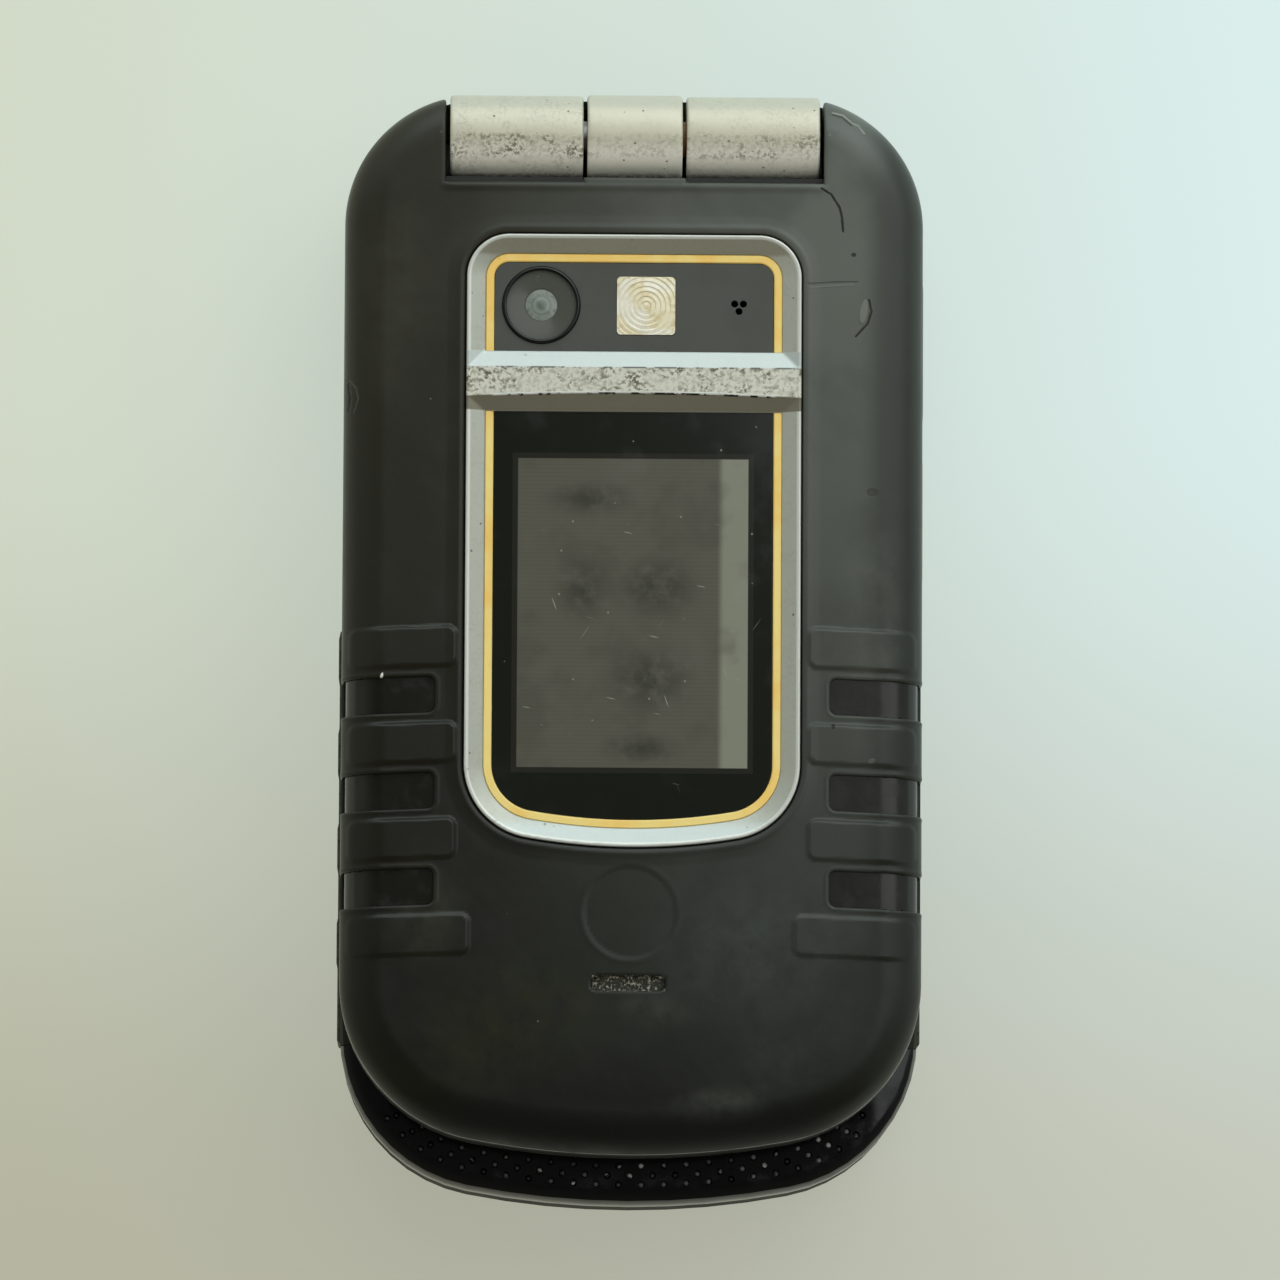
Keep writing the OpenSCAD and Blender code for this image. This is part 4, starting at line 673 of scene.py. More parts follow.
def bezel_material():
    """Silver frame: clean sides, a painted highlight on the rim, a grimy crossbar, painted brown
    reflection on the top slope and the crossbar's lower facet, and painted bluish reflection on the
    facets facing the window.
    """
    f = Finish("bezel_silver", (184, 186, 174), 0.38, 0.3)
    up = f.y - CROSSBAR_Y
    bow = f.x * f.x * (-BAR_BOW / bezel_plan.half ** 2)
    from_low = up - (bow + (BAR_BOW + BAR_LOW))
    bar = f.band(up, -2.45, 2.45)
    middle = f.step(from_low, -0.02, 0.05) * f.step(up, 1.16, 1.1)
    f.paint(middle, (224, 223, 208))
    mottled(f, (98, 90, 66), middle * 0.85 + 0.1, (146, 140, 116))
    # painted reflection: bluish on the bottom band and the crossbar's upper facet, which face the
    # window
    bluish_reflection = f.step(f.y, bezel_low[1] + 2.6, bezel_low[1] + 1.4)
    f.paint(f.math("MAXIMUM", bluish_reflection, f.band(up, 1.16, 2.5)), (204, 216, 216), 0.6)
    # painted reflection: brown on the crossbar's lower facet, which faces away from the window
    f.paint(f.step(from_low, 0.02, -0.05) * bar, (108, 102, 80), 0.8)
    # painted reflection: brown on the frame's top slope, which faces away from the window
    f.paint(f.step(f.y, bezel_high[1] - 1.9, bezel_high[1] - 1.5), (132, 127, 104), 0.6)
    # painted highlight: near white along the crest of the frame
    crest = f.step(f.z, bezel_high[2] - 0.09, bezel_high[2] - 0.03)
    f.paint(crest * (1.0 - bar), (226, 228, 220), 0.8)
    edge = f.band(from_low, -0.06, 0.09, 0.05) * f.band(f.x, -11.6, 11.6, 0.5)
    f.paint(edge, (236, 238, 230), 0.9)
    gaps = f.patches(0.9, 0.5, 0.56, 3.0) * f.band(f.x, -11.2, 11.2, 0.5)
    f.paint(f.band(from_low, -0.16, -0.04, 0.05) * gaps, (34, 32, 24))
    high = f.band(up - BAR_HIGH, -0.05, 0.04, 0.05)
    f.paint(high * f.patches(1.3, 0.47, 0.55, 3.0), (70, 72, 66), 0.8)
    return f.done()


def barrel_material():
    """Cream silver paint, speckled with grime on the side towards the window, with painted light
    that lifts the shade on that side.
    """
    f = Finish("hinge_silver", (212, 208, 188), 0.4, 0.2)
    round_up = (f.y - HINGE_Y) * (1 / SLEEVE_R)
    top = f.step(f.z, HINGE_Z - 0.5, HINGE_Z)
    speckled = f.band(round_up, -0.5, -0.1, 0.12) * top
    share = f.step(abs(f.x), 4.2, 4.4) * 0.45 + 0.3 + f.step(f.x, -4.2, -4.4) * 0.25
    # painted light: the upper side towards the window, turned away from the lamps, is lightened
    f.paint(f.step(round_up, -0.1, -0.5) * top, (250, 248, 234))
    mottled(f, (120, 116, 94), (speckled * 0.75 + 0.2) * share)
    edge = f.step(round_up, -0.86, -0.97) * top
    f.paint(edge * f.patches(0.6, 0.35, 0.6), (84, 80, 62), 0.7)
    f.paint(f.step(round_up, 0.5, 0.75), (186, 190, 180), 0.35)
    return f.done()


def gloss_material(name, colour, rough, dust=0.35):
    f = Finish(name, colour, rough)
    f.paint(f.patches(3.4, 0.48, 0.72, 3.0), tinted(colour, 1.25, 2), 0.6)
    f.roughen(f.patches(2.3, 0.48, 0.68), rough + 0.12)
    f.paint(f.specks(1.9, 0.07, 0.3), (110, 108, 96), dust)
    f.raise_by(f.noise(2.4, 3.0), 0.01)
    return f.done()


# width and height of the outer display's picture
PICTURE = (19.3, 26.0)
SCREEN_SMUDGES = [((-4.2, 4.4), (1.6, 1.9)), ((2.0, 4.6), (2.4, 1.9)), ((1.4, -3.2), (2.6, 2.0)),
                  ((-3.6, 12.0), (2.6, 1.0)), ((0.8, -9.0), (2.2, 0.9))]
# scratches on the window: turn, pitch, stretch and share
SCREEN_SCRATCHES = [(20, 0.5, 0.08, 0.3), (-35, 0.6, 0.06, 0.25), (78, 0.45, 0.1, 0.3)]


def glass_material():
    """Dusty gloss window: a black mask, the unlit picture behind it with its fine rows, and a
    painted reflection that lightens the picture's right side.
    """
    f = Finish("window_black", (25, 28, 21), 0.09)
    screen = (screen_low + screen_high) / 2
    edge = f.math("MAXIMUM", abs(f.x - screen[0]) - PICTURE[0] / 2,
                  abs(f.y - screen[1]) - PICTURE[1] / 2)
    outside = f.step(f.z, LID_TOP - 3, LID_TOP - 2.9)
    below = f.step(f.y, CROSSBAR_Y, CROSSBAR_Y - 0.1) * outside
    (left, low, _), (right, high, _) = inner_low + 1.3, inner_high - 1.3
    inner = f.band(f.x, left, right, 0.06) * f.band(f.y, low, high, 0.06)
    f.paint(inner * (1.0 - outside), (62, 64, 66))
    f.paint(f.step(edge, 0.5, 0.42) * below, (40, 40, 34))
    rows = f.step(f.math("SINE", f.y * (2 * math.pi / 0.34)), -1, 1)
    picture = f.mix(rows, srgb(92, 91, 81), srgb(96, 94, 83))
    # painted reflection: a lighter strip over the picture's right side
    picture = f.mix(f.step(f.x, 7.0, 7.7) * 0.8, picture, srgb(146, 148, 132))
    picture = f.mix(f.patches(6.0, 0.48, 0.66, 3.0) * 0.4, picture, srgb(76, 75, 67))
    for at, radii in SCREEN_SMUDGES:
        smudge = f.blob(at, radii, 0, 1.9) * f.patches(1.6, 0.25, 0.6) * 0.7
        picture = f.mix(smudge, picture, srgb(54, 54, 49))
    f.colour = f.mix(f.step(edge, 0.03, -0.03) * below, f.colour, picture)
    scuff = f.patches(7.0, 0.36, 0.56, 2.0) * f.step(f.y, 15, 8) * outside
    for turn, pitch, stretch, share in SCREEN_SCRATCHES:
        f.paint(f.streaks(pitch, stretch, turn, 0.11, share) * scuff, (170, 169, 156), 0.7)
    f.paint(f.specks(1.5, 0.11, 0.4), (150, 150, 138), 0.7)
    f.roughen(f.patches(4.0, 0.5, 0.7), 0.16)
    return f.done()


def camera_panel_material():
    f = Finish("camera_panel", (76, 78, 71), 0.34)
    f.paint(f.patches(5.0, 0.45, 0.7, 3.0), (67, 69, 63), 0.5)
    f.paint(f.specks(1.8, 0.08, 0.25), (150, 150, 138), 0.7)
    f.raise_by(f.noise(0.4, 3.0), 0.003)
    return f.done()


def lens_material():
    f = Finish("lens_glass", (82, 84, 77), 0.1)
    centre = (lens_low + lens_high) / 2
    r = f.hypot(f.x - centre[0], f.y - centre[1])
    f.paint(f.step(r, 1.36, 1.28) * f.patches(0.5, 0.2, 0.6), (134, 142, 133))
    f.paint(f.step(r, 0.9, 0.8), (116, 124, 116))
    f.paint(f.band(r, 0.5, 0.66, 0.08), (142, 150, 142), 0.7)
    f.paint(f.step(r, 0.34, 0.22), (100, 108, 101), 0.8)
    f.paint(f.specks(0.9, 0.08, 0.3), (130, 130, 120), 0.6)
    return f.done()


def flash_material():
    f = Finish("flash_clear", (242, 232, 200), 0.22)
    f.paint(f.patches(0.8, 0.45, 0.65, 3.0), (224, 208, 166))
    f.paint(f.patches(2.2, 0.5, 0.6, 2.0), (250, 248, 238), 0.6)
    return f.done()


def trim_material():
    f = Finish("trim_yellow", (255, 228, 140), 0.36)
    f.paint(f.patches(5.0, 0.42, 0.65, 3.0), (255, 212, 114))
    f.paint(f.specks(1.6, 0.12, 0.3), (120, 92, 44), 0.5)
    f.raise_by(f.noise(0.4, 2.0), 0.004)
    return f.done()


def board_material():
    f = Finish("board_green", (22, 84, 52), 0.4)
    copper = f.step(f.math("SINE", f.x * 5.2), 0.75, 0.8)
    f.paint(copper * f.patches(3.0, 0.5, 0.52, 1.0), (34, 112, 70))
    f.paint(f.specks(1.5, 0.3, 0.6), (188, 178, 130))
    return f.done()


def brushed_material(name, colour, rough):
    f = Finish(name, colour, rough, 1.0)
    brushed = f.noise(0.5, 4.0, vector=f.mapped((1, 12, 1)))
    f.paint(f.step(brushed, 0.35, 0.65), tinted(colour, 0.82))
    f.raise_by(brushed, 0.006)
    return f.done()


def ribbon_material():
    f = Finish("flex_amber", (176, 120, 52), 0.35)
    f.paint(f.step(f.math("SINE", f.x * 9.0), 0.2, 0.5), (132, 82, 36), 0.7)
    return f.done()


def dot_material():
    """Domes in the chin, some painted lighter as glints, more of them towards the right."""
    f = Finish("grille_dot", (26, 27, 27), 0.25)
    pick = f.cells(1.1)[1]
    # painted glints: dim, brighter (more towards the right) and bright dots, picked at random
    f.paint(f.step(pick, 0.2, 0.3), (58, 61, 62))
    f.paint(f.step(pick, 0.5, 0.6) * f.step(f.x, -22, 18, False), (124, 128, 128))
    f.paint(f.step(pick, 0.88, 0.9), (188, 190, 186))
    return f.done()


# plain mouldings: colour, roughness and, where it differs, the grain's height and pitch
MOULDED = {
    "shell_black": ((34, 34, 31), 0.45),
    "inner_black": ((38, 38, 38), 0.5, 0.01, 0.3),
    "outer_screen": ((90, 89, 77), 0.3),
    "inner_screen": ((48, 48, 52), 0.2),
    "part_grey": ((104, 104, 104), 0.4),
    "bumper_rubber": ((54, 54, 54), 0.7),
    "mat_silicone": ((148, 148, 146), 0.6),
    "battery_grey": ((88, 88, 92), 0.5),
    "cover_plastic": ((48, 49, 41), 0.5, 0.014, 0.4),
    "latch_plastic": ((86, 86, 80), 0.45),
    "port_rubber": ((58, 58, 54), 0.6),
    "side_key": ((70, 70, 66), 0.4),
    "talk_key": ((206, 172, 96), 0.4),
    "key_plastic": ((58, 58, 57), 0.38, 0.006),
    "send_key": ((40, 104, 56), 0.38, 0.006),
    "end_key": ((128, 42, 34), 0.38, 0.006),
}
finishes = {name: moulded(name, *how).done() for name, how in MOULDED.items()}
finishes |= {
    "base_plastic": moulded("base_plastic", (38, 39, 30), 0.6, Specular_IOR_Level=0.15).done(),
    "lid_rubber": rubber_material(),
    "grip_rubber": ribbed_rubber("grip_rubber", (66, 67, 52)),
    "grip_gloss": gloss_material("grip_gloss", (22, 21, 15), 0.18),
    "camera_black": gloss_material("camera_black", (7, 7, 7), 0.12),
    "chin_gloss": gloss_material("chin_gloss", (6, 6, 7), 0.12, 0.2),
    "bezel_silver": bezel_material(),
    "hinge_silver": barrel_material(),
    "nav_metal": silver_material("nav_metal", (128, 128, 122), (84, 82, 74), 0.4),
    "select_silver": silver_material("select_silver", (190, 190, 182), (130, 126, 112), 0.4),
    "trim_yellow": trim_material(),
    "window_black": glass_material(),
    "lens_glass": lens_material(),
    "flash_clear": flash_material(),
    "board_green": board_material(),
    "flex_amber": ribbon_material(),
    "screw_steel": brushed_material("screw_steel", (118, 116, 110), 0.34),
    "hinge_steel": brushed_material("hinge_steel", (172, 172, 170), 0.3),
}

# ---- lid: rubber skin and grips


def lid_body(x, y, z):
    """Outside of the lid without its reliefs."""
    top = LID_TOP - CROWN * (x / lid_plan.half) ** 2
    return rolled(lid_plan.distance(x, y), z, top, EDGE_WIDTH, EDGE_DEPTH)


def sloped(x, y):
    """Y of the grips, which fall a little towards the sides."""
    return y + GRIP_SLOPE * np.maximum(np.abs(x) - PAD_START, 0)


def grip_window(x, y):
    """Distance to the nearest grip window, seen from above."""
    end = lid_plan.half + 2
    half = ((end - WINDOW_START) / 2, WINDOW_HEIGHT / 2)
    y = sloped(x, y)
    return np.minimum.reduce([
        round_box(np.abs(x), y, ((WINDOW_START + end) / 2, GRIP_FIRST - k * GRIP_PITCH), half, 0.6)
        for k in range(GRIP_COUNT)])


def grip_relief(x, y):
    """Height of the raised grip pads and of the lips round the windows."""
    level = sloped(x, y)
    side = np.abs(x)
    height = 0
    for k in range(GRIP_COUNT + 1):
        last = k == GRIP_COUNT
        start = PAD_START - (LAST_PAD_LONGER if last else 0)
        length = lid_plan.half - 0.6 - start
        d = round_box(side, level, (start + length / 2, GRIP_FIRST + (0.5 - k) * GRIP_PITCH),
                      (length / 2, PAD_HEIGHT / 2), 0.7)
        fade = (1 - smooth_step(20.4, 23.0, side) * 0.75) * (LAST_PAD_SHARE if last else 1)
        height = height + PAD_PROUD * smooth_step(0.22, -0.22, d) * fade
    lip = np.exp(-((grip_window(x, y) - 0.22) / 0.16) ** 2)
    return height + 0.035 * lip


def top_relief(x, y):
    """Height of the badge seat, the lips and the bead on the lid's top."""
    from_badge = np.hypot(x - BADGE[0], y - BADGE[1]) - BADGE_R
    height = -0.06 * smooth_step(0.15, -0.25, from_badge)
    height = height + 0.014 * np.exp(-((from_badge - 0.28) / 0.2) ** 2)
    at_bezel = bezel_plan.distance(x, y)
    height = height + 0.10 * np.exp(-((at_bezel - 0.55) / 0.28) ** 2)
    height = height + 0.05 * smooth_step(1.7, 0.9, at_bezel)
    bead = np.exp(-((y - (HINGE_Y - SLEEVE_R - SLEEVE_LIP - 0.4)) / 0.3) ** 2)
    return height + 0.10 * bead * smooth_step(NOTCH_HALF + 0.6, NOTCH_HALF - 0.8, np.abs(x))


def lid_skin_field(x, y, z):
    """The rubber skin: the crowned body less the hinge, bezel seat, grip windows and vent."""
    body = lid_body(x, y, z) - grip_relief(x, y) - top_relief(x, y)
    from_axis = np.hypot(y - HINGE_Y, np.maximum(z - HINGE_Z, 0))
    body = smooth_max(body, np.where(y > HINGE_Y, from_axis - SLEEVE_R, WELL_INSIDE), 0.5)
    side = np.abs(x)
    ahead, above, radial = HINGE_Y - y, z > HINGE_Z, np.hypot(y - HINGE_Y, z - HINGE_Z)
    room = np.where(above, ahead - KNUCKLE_R - CENTRE_LIP, radial - SLEEVE_R - BEZEL_GAP)
    room = np.where(~above & (y > HINGE_Y), -(SLEEVE_R + 1), room)
    room = np.maximum(room, side - NOTCH_HALF)
    at_sleeves = np.maximum(np.maximum(ahead - SLEEVE_R - SLEEVE_LIP, CENTRE_HALF - side),
                            np.maximum(side - NOTCH_HALF, HINGE_Z - z))
    at_knuckle = np.maximum(np.where(above, radial, ahead) - KNUCKLE_R - KNUCKLE_GAP,
                            side - CENTRE_HALF)
    body = smooth_max(body, -np.minimum.reduce([room, at_sleeves, at_knuckle]), 0.3)
    body = smooth_max(body, -(bezel_plan.distance(x, y) - BEZEL_GAP), 0.25)
    window = np.maximum(grip_window(x, y), -(lid_body(x, y, z) + WINDOW_DEPTH))
    window = np.maximum(window, WINDOW_LOW - z)
    body = smooth_max(body, -window, 0.14)
    slot = np.maximum(round_box(x, y, VENT, VENT_HALF, 0.5), -(z - (LID_TOP - 0.6)))
    return smooth_max(body, -slot, 0.2)


def lid_grid():
    xs = mirrored((0, 4.6, 0.23), (4.6, 11.5, 0.46), (11.5, HALF + 0.4, 0.19))
    grip_top, bezel_end = GRIP_FIRST + 6.7, bezel_low[1]
    ys = lines((skin_low[1] - 0.4, skin_low[1] + 5.5, 0.22),
               (skin_low[1] + 5.5, VENT[1] - 2.0, 0.4),
               (VENT[1] - 2.0, bezel_end, 0.19), (bezel_end, grip_top, 0.17),
               (grip_top, bezel_high[1] - 4, 0.6), (bezel_high[1] - 4, skin_high[1] + 0.4, 0.2))
    zs = lines((LID_LOW - 0.1, 18.0, 0.45), (18.0, 23.7, 0.17))
    return xs, ys, zs


surface_piece(
    "lid_rubber_skin_moulded", lid_skin_field, lid_grid(), "lid_rubber_skin",
    keep=lambda x, y, z: (bezel_plan.distance(x, y) > -0.3) & (z > LID_LOW - 0.2))


def insert_field(x, y, z):
    body = lid_body(x, y, z)
    strip = np.maximum(body + INSERT_DEPTH, grip_window(x, y) - 0.15)
    return np.maximum(strip, WINDOW_LOW - z)


surface_piece(
    "grip_inserts_gloss", insert_field,
    (mirrored((0, 15.9, 4.0), (15.9, HALF + 0.3, 0.2)),
     lines((GRIP_FIRST - (GRIP_COUNT - 1) * GRIP_PITCH - 2.4, GRIP_FIRST + 2.4, 0.2)),
     lines((LID_TOP - EDGE_DEPTH - 2.6, LID_TOP - 0.2, 0.18))),
    "grip_inserts", keep=lambda x, y, z: lid_body(x, y, z) > -1.0)

# ---- lid: window frame and windows

BAND, FLAT_EDGE, SLOPE = 1.6, 0.24, 0.65


def bezel_field(x, y, z):
    d = bezel_plan.distance(x, y)
    crest = bezel_high[2]
    frame_top = crest - SLOPE * np.clip((-d - FLAT_EDGE) / (BAND - FLAT_EDGE), 0, 1.4)
    up = y - CROSSBAR_Y
    low_edge = BAR_LOW + BAR_BOW * (1 - (x / bezel_plan.half) ** 2)
    beyond = np.maximum(up - BAR_HIGH, low_edge - up)
    run = np.where(up > 0, CROSSBAR_HIGH - CROSSBAR_Y - BAR_HIGH,
                   low_edge - (CROSSBAR_LOW - CROSSBAR_Y))
    bar_top = crest + 0.02 - SLOPE * np.maximum(beyond, 0) / run
    top = smooth_max(frame_top, bar_top, 0.12)
    solid = smooth_max((z - top) * 0.88, d, 0.16)
    opening = np.minimum(-d - BAND, np.abs(up) - (CROSSBAR_HIGH - CROSSBAR_LOW) / 2)
    solid = smooth_max(solid, opening, 0.1)
    return np.maximum(solid, bezel_low[2] - z)


surface_piece(
    "window_bezel_worn", bezel_field,
    (mirrored((0, 11.6, 0.4), (11.6, 14.3, 0.11)),
     lines((bezel_low[1] - 0.3, bezel_low[1] + 8, 0.13), (bezel_low[1] + 8, CROSSBAR_Y - 3, 0.5),
           (CROSSBAR_Y - 3, CROSSBAR_Y + 3, 0.11), (CROSSBAR_Y + 3, bezel_high[1] - 4.2, 0.4),
           (bezel_high[1] - 4.2, bezel_high[1] + 0.3, 0.13)),
     lines((bezel_low[2] - 0.1, 22.3, 0.3), (22.3, 23.4, 0.11))),
    "window_bezel")


def cut_across(bm, y, away=1):
    """Adds edges to a mesh where the plane at a given y crosses it."""
    everything = bm.verts[:] + bm.edges[:] + bm.faces[:]
    bmesh.ops.bisect_plane(bm, geom=everything, plane_co=(0, y, 0), plane_no=(0, away, 0))


def cut_out_crossbar(obj):
    """Removes what lies under the crossbar, and closes the ends."""
    bm = bmesh.new()
    bm.from_mesh(obj.data)
    for y, away in ((CROSSBAR_LOW * MM, 1), (CROSSBAR_HIGH * MM, -1)):
        cut_across(bm, y, away)
    under = [f for f in bm.faces
             if CROSSBAR_LOW * MM < f.calc_center_median().y < CROSSBAR_HIGH * MM]
    bmesh.ops.delete(bm, geom=under, context="FACES")
    bmesh.ops.holes_fill(bm, edges=[e for e in bm.edges if len(e.link_faces) == 1])
    bm.to_mesh(obj.data)
    bm.free()


trim_inner = BAND + (trim_high[0] - pane_high[0]) - 0.05
trim_profile = [
    (BAND + 0.02, trim_low[2]), (BAND + 0.02, trim_high[2] - 0.06), (BAND + 0.08, trim_high[2]),
    (trim_inner - 0.1, trim_high[2]), (trim_inner, trim_high[2] - 0.08), (trim_inner, trim_low[2])]
trim = piece("trim_ring_yellow", *ring(trim_profile, bezel_plan), "window_trim_ring")
cut_out_crossbar(trim)
smooth_by_angle(trim, 30)

# ---- camera and flash

STEP_PITCH, STEP_DEPTH, STEP_RISE = 0.42, 0.10, 0.82


def flash_plate():
    """Square lens with fine round steps, and a skirt that goes down to the CAD lens's underside."""
    half = (flash_high[:2] - flash_low[:2]) / 2
    middle = (flash_high[:2] + flash_low[:2]) / 2
    n = 110
    t = np.linspace(-1, 1, n)
    x, y = np.meshgrid(middle[0] + half[0] * t, middle[1] + half[1] * t, indexing="ij")
    saw = (np.hypot(x - middle[0], y - middle[1]) / STEP_PITCH) % 1.0
    saw = np.where(saw < STEP_RISE, saw / STEP_RISE, (1 - saw) / (1 - STEP_RISE))
    corner = round_box(x, y, middle, half, 0.35)
    z = flash_high[2] - np.where(corner > -0.05, 0.05, STEP_DEPTH * saw)
    pull = np.clip(corner, 0, None) * 0.7
    x = x - np.sign(x - middle[0]) * pull
    y = y - np.sign(y - middle[1]) * pull
    points = np.stack([x, y, z], axis=2).reshape(-1, 3)
    faces = [(i * n + j, (i + 1) * n + j, (i + 1) * n + j + 1, i * n + j + 1)
             for i in range(n - 1) for j in range(n - 1)]
    rim = ([i * n for i in range(n)] + [(n - 1) * n + j for j in range(1, n)]
           + [i * n + n - 1 for i in range(n - 2, -1, -1)] + list(range(n - 2, 0, -1)))
    low = points[rim].copy()
    low[:, 2] = flash_low[2]
    start = len(points)
    points = np.concatenate([points, low])
    m = len(rim)
    faces += [(rim[i], start + i, start + (i + 1) % m, rim[(i + 1) % m]) for i in range(m)]
    smooth_by_angle(piece("flash_lens_stepped", points, faces, "flash_lens"), 40)


flash_plate()


def turned_upright(points, centre):
    """Turns a lathed shape, made along X, so that its axis points up at a place in the plan."""
    x, y, z = points.T
    return np.stack([centre[0] + y, centre[1] + z, x], axis=1)


camera_at = (ring_low[:2] + ring_high[:2]) / 2
camera_r = (ring_high[0] - ring_low[0]) / 2
RING = 0.32
ring_profile = [(camera_r - RING + RING * (1 - math.cos(a)) / 2,
                 ring_high[2] - 0.16 + 0.16 * math.sin(a))
                for a in (math.pi * i / 8 for i in range(9))]
points, faces = lathe([(camera_r - RING, ring_low[2]), *ring_profile, (camera_r, ring_low[2])])
# the ring is open in the middle, so the lathe's two end faces are left off
piece("camera_ring_gloss", turned_upright(points, camera_at), faces[:-2], "camera_ring")
# the lens from its rim to its middle: distance from the axis, and depth below its top
dish = [(camera_r - RING, 0.02), (1.6, 0.05), (1.42, 0.07), (1.36, 0.14), (0.9, 0.11), (0.4, 0.05),
        (0.02, 0.03)]
points, faces = lathe([(camera_r - RING, lens_low[2])] + [(r, lens_high[2] - d) for r, d in dish])
lens = piece("camera_lens_glass", turned_upright(points, camera_at), faces, "camera_lens")
smooth_by_angle(lens, 35)

# ---- hinge barrels

BARREL_RIM, RIM_STEPS = 0.28, 5


def barrel(node, x0, x1, r):
    """Barrel along X with rounded rims."""
    turns = [math.pi / 2 * i / RIM_STEPS for i in range(RIM_STEPS + 1)]
    rim = [(r - BARREL_RIM * (1 - math.sin(a)), BARREL_RIM * (1 - math.cos(a))) for a in turns]
    profile = [(r - BARREL_RIM - 0.4, x0)] + [(out, x0 + along) for out, along in rim]
    profile += [(r, x0 + (x1 - x0) * t) for t in (0.25, 0.5, 0.75)]
    profile += [(out, x1 - along) for out, along in rim[::-1]] + [(r - BARREL_RIM - 0.4, x1)]
    points, faces = lathe(profile, 120)
    points += np.array([0, HINGE_Y, HINGE_Z])
    smooth_by_angle(piece(node + "_worn", points, faces, node), 50)


barrel("hinge_sleeve_left", -sleeve_high[0], -sleeve_low[0], SLEEVE_R)
barrel("hinge_sleeve_right", sleeve_low[0], sleeve_high[0], SLEEVE_R)
barrel("centre_knuckle", knuckle_low[0], -knuckle_low[0], KNUCKLE_R)

# ---- chin


def chin_place(inset, s):
    """Place at a distance s along a line set in from the chin's outline."""
    bow, corner = base_plan.bow_r - inset, base_plan.free_r - inset
    run = bow * base_plan.turn
    if abs(s) <= run:
        a = s / bow
        return bow * math.sin(a), base_plan.bow_y - bow * math.cos(a)
    a = base_plan.turn + (abs(s) - run) / corner
    x = base_plan.corner_x + corner * math.sin(a)
    return math.copysign(x, s), base_plan.corner_y - corner * math.cos(a)


CHIN_ROWS = (1.62, 2.38, 3.22)
CHIN_PITCH, CHIN_TURN = 1.9, math.radians(41)
DOT_R, DOT_DEPTH = 0.27, 0.12


def chin_dots():
    """Small domes of the sound grille, seen at the bottom of the holes."""
    inset = CHIN_ROWS[0]
    reach = (base_plan.bow_r - inset) * base_plan.turn + (base_plan.free_r - inset) * CHIN_TURN
    rings, steps = 3, 10
    dome = [(0, 0, -DOT_DEPTH)]
    for a in (math.pi / 2 * k / rings for k in range(1, rings + 1)):
        for b in (2 * math.pi * i / steps for i in range(steps)):
            dome.append((DOT_R * math.sin(a) * math.cos(b), DOT_R * math.sin(a) * math.sin(b),
                         -DOT_DEPTH - DOT_R * (1 - math.cos(a))))
    points, faces = [], []
    for row, inset in enumerate(CHIN_ROWS):
        s = -reach + (CHIN_PITCH / 2 if row % 2 else 0)
        while s <= reach + 0.01:
            x, y = chin_place(inset, s)
            start = len(points)
            points += [(x + dx, y + dy, chin_high[2] + dz) for dx, dy, dz in dome]
            for i in range(steps):
                j = (i + 1) % steps
                faces.append((start, start + 1 + i, start + 1 + j))
                for k in range(rings - 1):
                    a, b = start + 1 + k * steps, start + 1 + (k + 1) * steps
                    faces.append((a + i, b + i, b + j, a + j))
            s += CHIN_PITCH
    piece("chin_grille_dots", points, faces, "loudspeaker", dot_material(), stands_for=False)


chin_dots()

# ---- copies of CAD nodes with softened edges

SOFTENED = {
    "base_rear_shell": 0.18, "base_front_shell": 0.18, "base_grips": 0.22, "chin_panel": 0.06,
    "battery_cover": 0.15, "battery_latch": 0.1, "port_cover": 0.2, "volume_rocker": 0.25,
    "talk_key": 0.25, "lid_inner_cover": 0.15, "lid_bumpers": 0.12, "lid_screws": 0.06,
    "base_screws": 0.06, "camera_window": 0.05, "outer_display_window": 0.05,
    "inner_display_window": 0.08, "nav_ring": 0.1, "select_key": 0.12}
for node in slots:
    if node.startswith(("key_", "soft_key_")) or node in ("send_key", "end_key"):
        SOFTENED[node] = 0.18
for node, width in SOFTENED.items():
    softened(node, width, camera_panel_material() if node == "camera_window" else None)

# ---- marks on the keys

KEY_CROWN, MARK_LIFT, MARK_STRIP = 20.0, 0.012, 0.3
mark_white = moulded("mark_white", (214, 214, 206), 0.5).done()


def lay_on(node, points, faces):
    """Lays a flat sign, centred on 0, on a key's crowned top, in strips that follow the crown."""
    low, high = box(node)
    middle = (low + high) / 2
    bm = bmesh.new()
    verts = [bm.verts.new((x, y, 0)) for x, y in points]
    for face in faces:
        bm.faces.new([verts[i] for i in face])
    reach = max(abs(y) for _, y in points)
    y = -reach + MARK_STRIP
    while y < reach:
        cut_across(bm, y)
        y += MARK_STRIP
    bm.verts.index_update()
    flat = np.array([v.co for v in bm.verts])
    faces = [tuple(v.index for v in f.verts) for f in bm.faces]
    bm.free()
    z = high[2] - flat[:, 1] ** 2 / (2 * KEY_CROWN) + MARK_LIFT
    placed_at = np.stack([flat[:, 0] + middle[0], flat[:, 1] + middle[1], z], axis=1)
    piece(node + "_mark", placed_at, faces, node, mark_white, stands_for=False)


